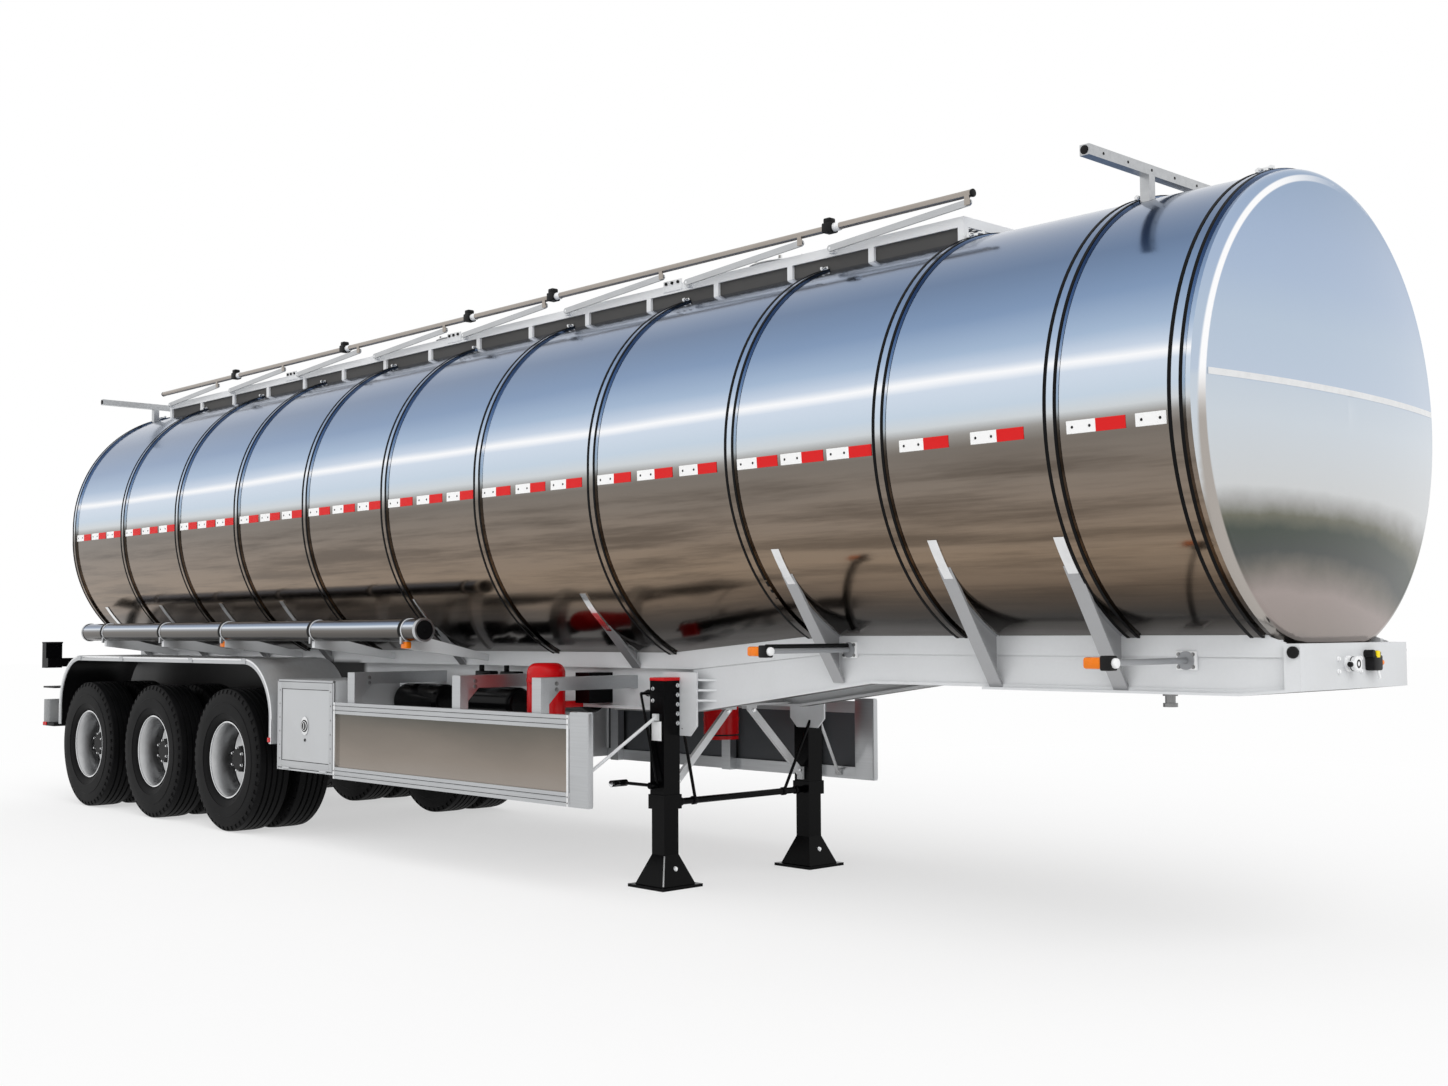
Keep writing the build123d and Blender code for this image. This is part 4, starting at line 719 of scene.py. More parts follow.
class TANKER_OT_stage(bpy.types.Operator):
    """Floor, soft light and the camera at the picture's place"""

    bl_idname = "tanker.stage"
    bl_label = "Stage"

    def execute(self, context):
        scene = context.scene
        scene.view_settings.view_transform = "Standard"
        bm = bmesh.new()
        bmesh.ops.create_circle(bm, cap_ends=True, segments=96, radius=80.0)
        mesh = bpy.data.meshes.new("studio_floor")
        bm.to_mesh(mesh)
        bm.free()
        mesh.materials.append(studio_floor())
        floor = bpy.data.objects.new("studio_floor", mesh)
        scene.collection.objects.link(floor)

        world = bpy.data.worlds.new("studio")
        world.use_nodes = True
        net = Net(world.node_tree)
        back = world.node_tree.nodes["Background"]
        ambient = 0.68
        net.feed(back.inputs["Color"], (1.0, 1.0, 1.0, 1.0))
        net.feed(back.inputs["Strength"], net.shown() * (1 - ambient) + ambient)
        scene.world = world

        for name, energy, angle, turn in (
            ("key_light", 1.55, 50.0, (50, 0, 62)),
            ("fill_light", 0.45, 70.0, (58, 0, -50)),
        ):
            lamp = bpy.data.lights.new(name, "SUN")
            lamp.energy = energy
            lamp.angle = radians(angle)
            obj = bpy.data.objects.new(name, lamp)
            obj.rotation_euler = [radians(a) for a in turn]
            obj.visible_glossy = False
            scene.collection.objects.link(obj)

        view = bpy.data.cameras.new("picture_view")
        view.sensor_width = 36.0
        focal_pixels, picture_pixels = 1631.3, 1448
        view.lens = view.sensor_width * focal_pixels / picture_pixels
        view.clip_end = 300.0
        camera = bpy.data.objects.new("picture_view", view)
        camera.matrix_world = (
            Matrix.Translation((9.3596, -7.0595, 1.5075)) @ Matrix.Rotation(radians(46.628), 4, "Z")
            @ Matrix.Rotation(radians(93.095), 4, "X") @ Matrix.Rotation(radians(-0.289), 4, "Z")
        )
        scene.collection.objects.link(camera)
        scene.camera = camera
        return {"FINISHED"}


class TANKER_OT_bands(bpy.types.Operator):
    """Rubber strips along each polished band's edges, and the band's buckles near the top"""

    bl_idname = "tanker.bands"
    bl_label = "Tank bands"

    def execute(self, context):
        width = context.scene.tanker_trim.strip_width
        strips, buckles = meshes(2)
        for x in RING_X:
            for start in (x - RING_HALF, x + RING_HALF - width):
                hoop(strips, start, start + width, TANK_R + RING_THICK - 0.002, 0.0045)
            for side in (1, -1):
                self.buckle(buckles, x, side)
        piece("band_strips", strips, "strip")
        piece("band_buckles", buckles, "lip")
        return {"FINISHED"}

    @staticmethod
    def buckle(bm, x, side):
        """Two lugs drawn together by a screw with a nut at each end."""
        lug, screw = RING_THICK + 0.008, RING_THICK + 0.014
        half = Vector((0.028, 0.010, 0.010))
        for down in (15.4, 18.6):
            at = tank_point(x, side * down, lug)
            turn = Matrix.Rotation(-radians(side * down), 4, "X")
            block(bm, at - half, at + half, bevel=0.002, turn=turn)
        start, end = (tank_point(x, side * down, screw) for down in (13.5, 20.5))
        rod(bm, start, end, 0.006, 8)
        for down in (14, 20):
            at = tank_point(x, side * down, screw)
            turn = radians(side * down)
            along = Vector((0, cos(turn), -sin(turn))) * 0.006
            rod(bm, at - along, at + along, 0.011, 6)


class TANKER_OT_tape(bpy.types.Operator):
    """White and red marking tape along both sides, riveted"""

    bl_idname = "tanker.tape"
    bl_label = "Marking tape"

    def execute(self, context):
        trim = context.scene.tanker_trim
        white, red, pins = meshes(3)
        pair, pitch, lead, spare = 0.298, 0.355, 0.050, 0.030
        spans = []
        for start, end in zip(RING_X[:9], RING_X[1:10]):
            room = end - start - 2 * RING_HALF - pair - spare
            spans += [(start + lead + min(pitch, room / 2) * k, True) for k in range(3)]
        spans += [(RING_X[9] + 0.127, True), (RING_X[9] + 0.554, True)]
        spans += [(RING_X[10] + 0.079, True), (RING_X[10] + 0.425, False)]
        for side in (1, -1):
            for start, with_red in spans:
                self.strip(white, start, start + pair / 2, side, trim, pins)
                if with_red:
                    self.strip(red, start + pair / 2, start + pair, side, trim)
        piece("tape_white", white, "tape_white", smooth=False)
        piece("tape_red", red, "tape_red", smooth=False)
        piece("tape_rivets", pins, "dark")
        return {"FINISHED"}

    @staticmethod
    def strip(bm, x0, x1, side, trim, pins=None):
        """One length of tape against the cladding, with two rivets where pins is given."""
        level, half, thick = trim.tape_level, trim.tape_height / 2, 0.002
        drop = max(TANK_Z - flat_at((x0 + x1) / 2) - level, 0.0)
        angle = atan2(drop, sqrt(TANK_R**2 - drop**2))
        y = side * (TANK_R * cos(angle) + 0.0008)
        turn = Matrix.Rotation(-side * angle, 4, "X")
        block(bm, (x0, y - thick, level - half), (x1, y + thick, level + half), bevel=0.0015, turn=turn)
        if pins:
            for share in (0.2, 0.8):
                at = (x0 + share * (x1 - x0), y + side * 0.0022, level)
                rivet(pins, at, (0, side, -sin(angle)))


class TANKER_OT_seam(bpy.types.Operator):
    """Cover strip across the front head"""

    bl_idname = "tanker.seam"
    bl_label = "Head seam"

    def execute(self, context):
        crown_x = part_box("tank_heads")[HIGH].x
        level, steps = 2.565, 24
        crown_half, crown = TANK_R - 0.050, 0.085
        dish = (crown_half**2 + crown**2) / (2 * crown)
        rise = level - TANK_Z
        reach = sqrt(crown_half**2 - rise**2)
        places = []
        for k in range(steps + 1):
            y = -reach + 2 * reach * k / steps
            x = crown_x - dish + sqrt(dish**2 - y**2 - rise**2) + 0.0015
            places.append(Vector((x, y, level)))
        bm = bmesh.new()
        for start, end in zip(places, places[1:]):
            run = end - start
            size = Vector((0.0025, run.length / 2 + 0.0006, 0.014))
            middle = (start + end) / 2
            turn = Matrix.Rotation(atan2(-run.x, run.y), 4, "Z")
            block(bm, middle - size, middle + size, turn=turn)
        piece("head_seam", bm, "lip", smooth=False)
        return {"FINISHED"}


class TANKER_OT_tyres(bpy.types.Operator):
    """Twin tyres with ribbed tread and notched shoulders"""

    bl_idname = "tanker.tyres"
    bl_label = "Tyres"

    def execute(self, context):
        depth = context.scene.tanker_trim.tread_depth
        for name, _, axle in WHEELS:
            node = f"tyres_{name}_{axle}"
            low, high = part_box(node)
            centre = (low + high) / 2
            bm = bmesh.new()
            for share in (-1, 1):
                self.tyre(bm, centre + Vector((0, share * TWIN_HALF, 0)), (high.x - low.x) / 2, depth)
            piece(
                f"tread_{name}_{axle}", bm, "rubber", f"{name}_wheel_{axle}",
                replaces=(node,),
            )
        return {"FINISHED"}

    @staticmethod
    def tyre(bm, centre, radius, depth):
        steps, half = 96, 0.143
        bead, seat, flange = 0.098, 0.2868, 0.291
        side = [
            (bead, seat), (bead, flange + 0.004), (bead + 0.014, flange + 0.010),
            (half - 0.016, flange + 0.028), (half - 0.006, flange + 0.062), (half - 0.001, flange + 0.064),
            (half, flange + 0.110), (half - 0.001, radius - 0.112), (half - 0.005, radius - 0.108),
            (half - 0.007, radius - 0.066), (half - 0.012, radius - 0.040), (half - 0.021, radius - 0.010),
            (half - 0.028, radius - 0.004),
        ]
        crown = []
        groove, width = 0.006, half - 0.032
        for k in range(4):
            mid = width * (0.62 - 0.4133 * k)
            crown += [
                (mid + groove + 0.002, radius - 0.001), (mid + groove * 0.6, radius - depth),
                (mid - groove * 0.6, radius - depth), (mid - groove - 0.002, radius - 0.001),
            ]
        old = set(bm.faces)
        spun(bm, side + crown + [(-a, r) for a, r in side[::-1]], centre, steps=steps)
        shoulder = []
        for face in bm.faces:
            if face in old:
                continue
            out, across, turn = spun_place(face, centre, steps)
            if radius - 0.040 < out < radius - 0.008 and abs(across) > half - 0.024 and turn % 2:
                shoulder.append(face)
        bmesh.ops.inset_individual(bm, faces=shoulder, thickness=0.003, depth=-0.006)


class TANKER_OT_wheels(bpy.types.Operator):
    """Dished wheels with bright lips, hand holes, hub and nuts"""

    bl_idname = "tanker.wheels"
    bl_label = "Wheels"

    def execute(self, context):
        nuts = context.scene.tanker_trim.nut_count
        for name, side, axle in WHEELS:
            node = f"wheel_{name}_{axle}"
            low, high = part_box(node)
            centre = Vector(((low.x + high.x) / 2, side * TWIN_Y, (low.z + high.z) / 2))
            body = f"{name}_wheel_{axle}"
            rim, lip, hub = meshes(3)
            for share in (-1, 1):
                self.rim(rim, lip, centre, side * share)
            self.hub(hub, lip, centre, side, nuts)
            piece(f"rim_{name}_{axle}", rim, "wheel", body, replaces=(node,))
            piece(f"rim_lip_{name}_{axle}", lip, "lip", body)
            piece(f"hub_{name}_{axle}", hub, "dark", body)
        return {"FINISHED"}

    @staticmethod
    def rim(bm, lip, centre, way):
        """One rim of the pair; way points from the pair's middle outwards."""
        steps, axis = 64, Vector((0, way, 0))
        inner, outer = 0.060, 0.280
        bed = [
            (outer, 0.290), (outer - 0.010, 0.290), (outer - 0.012, 0.2866), (inner + 0.012, 0.2866),
            (inner + 0.010, 0.290), (inner, 0.290), (inner + 0.004, 0.280), (inner + 0.040, 0.262),
            (inner + 0.090, 0.256), (outer - 0.100, 0.257), (outer - 0.050, 0.266), (outer - 0.020, 0.276),
            (outer - 0.003, 0.285),
        ]
        spun(bm, bed, centre, axis, steps)
        edge = [
            (outer - 0.001, 0.282), (outer + 0.004, 0.283), (outer + 0.006, 0.288), (outer + 0.004, 0.293),
            (outer - 0.006, 0.2935), (outer - 0.008, 0.288),
        ]
        spun(lip, edge, centre, axis, steps)
        disc = [
            (0.002, 0.085), (0.002, 0.172), (0.030, 0.205), (0.086, 0.257), (0.096, 0.257), (0.040, 0.196),
            (0.014, 0.168), (0.014, 0.085),
        ]
        old = set(bm.faces)
        spun(bm, disc, centre, axis, steps)
        holes = {}
        for face in bm.faces:
            if face in old:
                continue
            out, _, turn = spun_place(face, centre, steps)
            if 0.178 < out < 0.202 and turn % 8 in (0, 1):
                holes.setdefault(turn // 8, []).append(face)
        for faces in holes.values():
            rims = [e for f in faces for e in f.edges if not set(faces).issuperset(e.link_faces)]
            bmesh.ops.delete(bm, geom=faces, context="FACES")
            bmesh.ops.bridge_loops(bm, edges=rims)

    @staticmethod
    def hub(hub, bright, centre, side, nuts):
        """Hub cap and drum, wheel nuts on their studs, cap bolts and the valve stem."""
        axis = Vector((0, side, 0))
        cap = [
            (0.206, 0.0), (0.202, 0.080), (0.190, 0.096), (0.150, 0.102), (0.030, 0.106), (0.018, 0.100),
            (0.016, 0.135), (-0.285, 0.135), (-0.285, 0.043), (0.080, 0.043), (0.080, 0.0),
        ]
        spun(hub, cap, centre, axis, 40, closed=False)
        drum = [
            (-0.285, 0.190), (-0.285, 0.205), (-0.024, 0.205), (-0.024, 0.068), (-0.039, 0.068),
            (-0.039, 0.190),
        ]
        spun(hub, drum, centre, axis, 40)
        for k in range(nuts):
            a = FULL_TURN * k / nuts
            at = centre + Vector((cos(a), 0, sin(a))) * 0.1515
            rod(hub, at + axis * 0.012, at + axis * 0.044, 0.017, 6)
            rod(hub, at + axis * 0.040, at + axis * 0.060, 0.010, 8)
        for k in range(6):
            a = FULL_TURN * (k + 0.5) / 6
            at = centre + Vector((cos(a), 0, sin(a))) * 0.084
            bolt(bright, at + axis * 0.194, axis, 0.009, 0.018)
        stem = centre + Vector((0.214, 0, 0.02))
        rod(bright, stem + axis * 0.040, stem + axis * 0.130, 0.0045, 8)


class TANKER_OT_deck(bpy.types.Operator):
    """Expanded metal on the roof walkway"""

    bl_idname = "tanker.deck"
    bl_label = "Walkway deck"

    def execute(self, context):
        low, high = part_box("walkway_deck")
        middle, level = (low + high) / 2, high.z - 0.004
        long, short, strand = 0.110, 0.046, 0.008
        neck, collar, margin = 0.272, 0.05, 0.03
        count = int((high.x - low.x) / long) + int((high.y - low.y) / short) + 4
        bm = bmesh.new()
        grid = bmesh.ops.create_grid(bm, x_segments=count, y_segments=count, size=count / 2 * sqrt(0.5))
        place = Matrix.Translation((middle.x, middle.y, level)) @ Matrix.Diagonal((long, short, 1, 1))
        bmesh.ops.transform(bm, matrix=place @ Matrix.Rotation(pi / 4, 4, "Z"), verts=grid["verts"])
        for at, normal in ((low, (-1, 0, 0)), (high, (1, 0, 0)), (low, (0, -1, 0)), (high, (0, 1, 0))):
            bmesh.ops.bisect_plane(
                bm, geom=[*bm.verts, *bm.edges, *bm.faces], plane_co=at, plane_no=normal, clear_outer=True
            )
        gone = [
            f for f in bm.faces
            if any((f.calc_center_median().xy - Vector((x, 0))).length < neck + margin for x in HATCH_X)
        ]
        bmesh.ops.delete(bm, geom=gone, context="FACES")
        bmesh.ops.wireframe(
            bm, faces=bm.faces, thickness=strand, use_replace=True, use_boundary=True,
            use_even_offset=False,
        )
        for x in HATCH_X:
            section = [(-0.004, neck), (-0.004, neck + collar), (0.003, neck + collar), (0.003, neck)]
            spun(bm, section, (x, 0, level), UP, 48)
        piece("deck_mesh", bm, "deck", smooth=False, replaces=("walkway_deck",))
        return {"FINISHED"}


class TANKER_OT_legs(bpy.types.Operator):
    """Caps, bolts, flat braces, control rods and blank plates of the landing legs"""

    bl_idname = "tanker.legs"
    bl_label = "Landing legs"

    def execute(self, context):
        caps, bright, bars, rods, plates = meshes(5)
        outer, gear_z, shaft_z = LEG_Y + LEG_HALF, LEG_TOP - 0.085, 0.490
        cap = LEG_HALF + 0.003
        for side in (1, -1):
            top = (LEG_TOP - 0.008, LEG_TOP + 0.012)
            slab(caps, side, near(LEG_X, cap), near(LEG_Y, cap), top, 0.004)
            for k in range(5):
                at = (LEG_X + LEG_HALF, side * (LEG_Y - 0.043), LEG_TOP - 0.036 - 0.056 * k)
                bolt(bright, at, FORWARD, 0.010, 0.016)
            for drop in (0.055, 0.125):
                bolt(bright, (LEG_X - 0.030, side * outer, LEG_TOP - drop), (0, side, 0), 0.009, 0.014)
            for way in (1, -1):
                bolt(bright, (LEG_X + way * 0.0886, side * LEG_Y, 0.110), (way, 0, 0.407), 0.011, 0.012)
            weld = ((LEG_X + d, LEG_Y + d, z) for d, z in ((0.125, 0.022), (0.058, 0.186)))
            bar(bright, side, *weld, 0.0035, 10)
            gear = Vector((LEG_X - LEG_HALF, side * LEG_Y, gear_z))
            out = gear - Vector((0.080, 0, 0))
            rod(rods, gear, out, 0.020, bevel=0.003)
            bolt(rods, out, BACKWARD, 0.016, 0.030)
            lever_x, lever_y = LEG_X - LEG_HALF - 0.060, 0.698
            bar(rods, side, (lever_x, LEG_Y, gear_z), (lever_x, lever_y, gear_z), 0.009, 12)
            bar(rods, side, (lever_x, lever_y, gear_z), (LEG_X + 0.030, 0.703, 0.612), 0.008, 12)
            bar(rods, side, (LEG_X + 0.085, 0.546, 0.935), (LEG_X + 0.012, 0.385, 0.503), 0.010, 12)
            for y in (0.385, 0.500):
                bar(
                    rods, side, (LEG_X, y - 0.016, shaft_z), (LEG_X, y + 0.016, shaft_z), 0.026,
                    bevel=0.003,
                )
            slab(
                plates, side, (LEG_X - 0.046, LEG_X + 0.041), (outer, outer + 0.002), (0.861, 0.975),
                0.0008,
            )
            self.brace(bars, bright, side)
        rod(bright, (1.758, -0.752, 0.600), (1.758, -0.820, 0.600), 0.020, bevel=0.003)
        piece("leg_caps", caps, "red")
        piece("leg_bolts", bright, "lip")
        piece("leg_brace_bars", bars, "paint")
        piece("leg_rods", rods, "black")
        piece("leg_plates", plates, "white")
        return {"FINISHED"}

    @staticmethod
    def brace(bars, bright, side):
        """A flat bar from the leg up to the middle of the frame, bolted at both ends."""
        front = Vector((0.012, 0, 0))
        low, high = Vector((LEG_X, side * 0.5435, 0.595)), Vector((LEG_X, side * 0.088, 1.034))
        run = (high - low).normalized()
        across = Vector((0, -run.z, run.y)) * 0.022
        corners = [low - across, high - across, high + across, low + across]
        plate(bars, [c - front for c in corners], 2 * front.x, FORWARD)
        for at in (low + run * 0.030, high - run * 0.030):
            bolt(bright, at + front, FORWARD, 0.010, 0.014)


class TANKER_OT_nose(bpy.types.Operator):
    """Air coupling, lamp socket with its flap, corner rubbers and cheek plates of the nose"""

    bl_idname = "tanker.nose"
    bl_label = "Nose couplings"

    def execute(self, context):
        pale, dark, flap, amber, cheeks = meshes(5)
        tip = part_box("nose_fittings")[HIGH].x
        self.coupling(pale, dark, tip)
        self.socket(pale, dark, flap, amber, tip)
        rubber_end = [(0.0, 0.0), (0.0, 0.026), (0.012, 0.026), (0.018, 0.020), (0.016, 0.010), (0.016, 0.0)]
        cheek = (
            (5.698, 1.397), (5.698, 1.528), (5.800, 1.520), (5.846, 1.470), (5.915, 1.446), (5.915, 1.397),
        )
        for side in (1, -1):
            spun(dark, rubber_end, (5.960, side * 0.512, 1.405), (0, side, 0), 28, closed=False)
            plate(cheeks, [(x, side * 0.4845, z) for x, z in cheek], 0.0088, (0, side, 0))
        for y, z in ((-0.170, 1.345), (0.040, 1.345), (0.225, 1.350)):
            for drop in (-0.028, 0.028):
                bolt(pale, (NOSE_FACE, y, z + drop), FORWARD, 0.008, 0.010)
        piece("nose_cheeks", cheeks, "frame", smooth=False)
        piece("nose_couplings", pale, "white", replaces=("nose_fittings",))
        piece("nose_socket", dark, "dark")
        piece("nose_flap", flap, "yellow")
        piece("nose_tip", amber, "orange")
        return {"FINISHED"}

    @staticmethod
    def coupling(pale, dark, tip):
        """Air coupling with its two claws, seal, ring and release knob."""
        y, z, back, claw = -0.076, 1.350, NOSE_FACE, NOSE_FACE + 0.022
        body = [
            (back, 0.0), (back, 0.036), (back + 0.006, 0.036), (back + 0.010, 0.020), (back + 0.020, 0.018),
            (back + 0.026, 0.030), (tip - 0.006, 0.034), (tip - 0.001, 0.031), (tip - 0.001, 0.0),
        ]
        spun(pale, body, (0, y, z), FORWARD, 36, closed=False)
        block(pale, (claw, y - 0.046, z - 0.012), (tip - 0.008, y - 0.028, z + 0.012), 0.003)
        block(pale, (claw, y + 0.028, z - 0.010), (tip - 0.008, y + 0.044, z + 0.010), 0.003)
        seal = [(tip - 0.002, 0.010), (tip - 0.002, 0.020), (tip, 0.019), (tip, 0.011)]
        spun(dark, seal, (0, y, z), FORWARD, 28)
        ring = [
            (back + 0.021, 0.0305), (back + 0.0245, 0.0305), (back + 0.0245, 0.0325), (back + 0.021, 0.0325),
        ]
        spun(dark, ring, (0, y, z), FORWARD, 36)
        knob_x, knob_z = tip - 0.016, 1.348
        rod(dark, (knob_x, -0.134, knob_z), (knob_x, -0.118, knob_z), 0.012, 16, bevel=0.002)
        rod(pale, (knob_x, -0.120, knob_z), (knob_x, -0.104, knob_z), 0.006, 12)

    @staticmethod
    def socket(pale, dark, flap, amber, tip):
        """Lamp socket in its housing, with hinge, flap, amber tip and a stub of its lead's grip."""
        y, z, back = 0.128, 1.356, NOSE_FACE
        hinge_z, hinge_x, tip_z = z + 0.036, back + 0.020, z - 0.004
        block(dark, (back, y - 0.044, z - 0.040), (tip - 0.004, y + 0.044, z + 0.030), 0.009)
        rod(dark, (back, y - 0.040, hinge_z), (tip - 0.006, y - 0.040, hinge_z), 0.018, bevel=0.003)
        rod(dark, (hinge_x, y - 0.030, hinge_z), (hinge_x, y + 0.050, hinge_z), 0.014, bevel=0.002)
        block(flap, (tip - 0.018, y - 0.022, z + 0.018), (tip, y + 0.010, z + 0.050), 0.005)
        rod(amber, (tip - 0.022, y + 0.042, tip_z), (tip - 0.022, y + 0.066, tip_z), 0.014, 16, bevel=0.003)
        rod(pale, (tip - 0.016, y + 0.012, z - 0.036), (tip - 0.012, y + 0.022, z - 0.074), 0.006, 12)


class TANKER_OT_markers(bpy.types.Operator):
    """Amber side lamps on their arms, with clips, flanges and bolts"""

    bl_idname = "tanker.markers"
    bl_label = "Side lamps"

    def execute(self, context):
        amber, dark, pale, bright = meshes(4)
        foot = 0.504
        for x, z, fed in LAMP_PLACES:
            for side in (1, -1):
                slab(amber, side, (x - 0.074, x + 0.016), (1.154, 1.204), near(z, 0.025), 0.011)
                slab(dark, side, (x + 0.012, x + 0.064), (1.146, 1.207), near(z, 0.032), 0.007)
                bar(pale, side, (x + 0.060, 1.176, z), (x + 0.084, 1.176, z), 0.022, bevel=0.007)
                bar(dark, side, (x, 1.118, z), (x, 1.162, z), 0.024, bevel=0.004)
                slab(pale, side, near(x, 0.052), (0.486, foot), near(z, 0.044), 0.004)
                for dx in (-0.036, 0.036):
                    for dz in (-0.028, 0.028):
                        bolt(bright, (x + dx, side * foot, z + dz), (0, side, 0), 0.007, 0.009)
                if fed:
                    bar(dark, side, (x - 0.008, 0.500, z + 0.024), (x - 0.008, 1.128, z + 0.024), 0.012, 14)
        piece("side_lamps", amber, "orange")
        piece("lamp_clips", dark, "dark")
        piece("lamp_flanges", pale, "white")
        piece("lamp_bolts", bright, "steel")
        return {"FINISHED"}


class TANKER_OT_toolboxes(bpy.types.Operator):
    """Rails, studs and lock of each toolbox door, and the box's bright edges"""

    bl_idname = "tanker.toolboxes"
    bl_label = "Toolboxes"

    def execute(self, context):
        edges = bmesh.new()
        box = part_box("toolboxes")
        box_z, gap, wide, thin = (box[LOW].z, box[HIGH].z), 0.003, 0.048, 0.004
        for name, side in SIDES:
            low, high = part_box(f"toolbox_door_{name}")
            xs, zs = (low.x, high.x), (low.z + 0.014, high.z)
            rails, lines, lock, pins = meshes(4)
            self.border(rails, side, xs, zs, wide, wide, (DOOR_FACE, DOOR_FACE + 0.005), 0.0015)
            inner_xs, inner_zs = ((a + wide, b - wide) for a, b in (xs, zs))
            self.border(lines, side, inner_xs, inner_zs, thin, 0.0, (DOOR_FACE, DOOR_FACE + 0.0012), 0.0)
            at = Vector((sum(xs) / 2, side * (DOOR_FACE + 0.003), 0.850))
            self.lock(lock, lines, at, side)
            for k in range(6):
                z = zs[0] + 0.06 + (zs[1] - zs[0] - 0.12) * k / 5
                for x in (xs[0] + wide / 2, xs[1] - wide / 2):
                    rivet(pins, (x, side * (DOOR_FACE + 0.005), z), (0, side, 0))
            body = f"door_{name}"
            piece(f"door_rails_{name}", rails, "guard", body)
            piece(f"door_lines_{name}", lines, "dark", body)
            piece(f"door_lock_{name}", lock, "lip", body)
            piece(f"door_studs_{name}", pins, "steel", body)
            depth = (DOOR_FACE - 0.010, DOOR_FACE + 0.003)
            for edge_xs, edge_zs in (
                ((box[LOW].x, low.x - gap), box_z), ((high.x + gap, box[HIGH].x), box_z),
                ((box[LOW].x, box[HIGH].x), (high.z + gap, box[HIGH].z)),
            ):
                slab(edges, side, edge_xs, depth, edge_zs, 0.001)
        piece("toolbox_edges", edges, "guard")
        return {"FINISHED"}

    @staticmethod
    def border(bm, side, xs, zs, wide, lap, depth, bevel):
        """Four bars round a rectangle, the level ones shorter by lap at each end."""
        level = (xs[0] + lap, xs[1] - lap)
        slab(bm, side, level, depth, (zs[1] - wide, zs[1]), bevel)
        slab(bm, side, level, depth, (zs[0], zs[0] + wide), bevel)
        slab(bm, side, (xs[0], xs[0] + wide), depth, zs, bevel)
        slab(bm, side, (xs[1] - wide, xs[1]), depth, zs, bevel)

    @staticmethod
    def lock(lock, lines, at, side):
        """Oval plate with a round lock, its handle and the key hole under it."""
        axis = (0, side, 0)
        out = Vector(axis)
        rod(lock, at, at + out * 0.003, 0.050, 40, bevel=0.001)
        oval = Matrix.Translation(at) @ Matrix.Diagonal((0.98, 1.0, 1.32, 1.0)) @ Matrix.Translation(-at)
        bmesh.ops.transform(lock, matrix=oval, verts=lock.verts)
        spun(lines, [(0.002, 0.036), (0.006, 0.036), (0.006, 0.043), (0.002, 0.044)], at, axis, 36)
        spun(lock, [(0.002, 0.029), (0.008, 0.029), (0.008, 0.034), (0.002, 0.036)], at, axis, 36)
        rod(lines, at + out * 0.002, at + out * 0.0075, 0.030, 28, bevel=0.001)
        handle = Vector((0.004, 0, 0.020))
        block(lock, at + out * 0.006 - handle, at + out * 0.0095 + handle, 0.001)
        key = at - Vector((0, 0, 0.100))
        rod(lines, key - out * 0.003, key + out * 0.001, 0.011, 18)


class TANKER_OT_guards(bpy.types.Operator):
    """Ribs, grooves, end strips, end posts and studs of the side guards, and valves on the beam"""

    bl_idname = "tanker.guards"
    bl_label = "Side guards"

    def execute(self, context):
        ribs, grooves, strips, pins, valves, covers = meshes(6)
        face, proud, strip = GUARD_FACE, GUARD_FACE + 0.004, 0.020
        bottom, top = GUARD_RAILS[0][0], GUARD_RAILS[1][1]
        for side in (1, -1):
            for low, high in GUARD_RAILS:
                slab(ribs, side, GUARD_X, (face, face + 0.003), (low + 0.030, high - 0.030), 0.001)
                # painted shade: each groove is a thin dark strip at the rib's edge
                for z in (low + 0.024, high - 0.024):
                    slab(grooves, side, GUARD_X, (face - 0.001, face + 0.0008), near(z, 0.0018))
            for start in (GUARD_X[0], GUARD_X[1] - strip):
                slab(strips, side, (start, start + strip), (face - 0.020, proud), (bottom, top), 0.0015)
                for z in (bottom + 0.020, bottom + 0.055, top - 0.055, top - 0.020):
                    rivet(pins, (start + strip / 2, side * proud, z), (0, side, 0), 0.006)
            post = (bottom - 0.002, top + 0.022)
            slab(covers, side, (GUARD_X[1], POST_FRONT), (1.196, proud), post, 0.016)
            for x in (-0.583, 0.690, 1.530):
                for z in (1.165, 1.200):
                    bolt(pins, (x + 0.045, side * 1.085, z), FORWARD, 0.010, 0.010)
            for start, end in ((-0.030, 0.150), (0.260, 0.440)):
                port, plug = start + 0.040, end - 0.040
                slab(valves, side, (start, end), (0.490, 0.560), (1.180, 1.245), 0.008)
                bar(valves, side, (port, 0.530, 1.240), (port, 0.530, 1.285), 0.018, bevel=0.003)
                bar(valves, side, (plug, 0.556, 1.215), (plug, 0.590, 1.215), 0.016, bevel=0.003)
        piece("guard_ribs", ribs, "guard")
        piece("guard_posts", covers, "guard")
        piece("guard_grooves", grooves, "dark")
        piece("guard_strips", strips, "lip")
        piece("guard_studs", pins, "steel")
        piece("beam_valves", valves, "black")
        return {"FINISHED"}


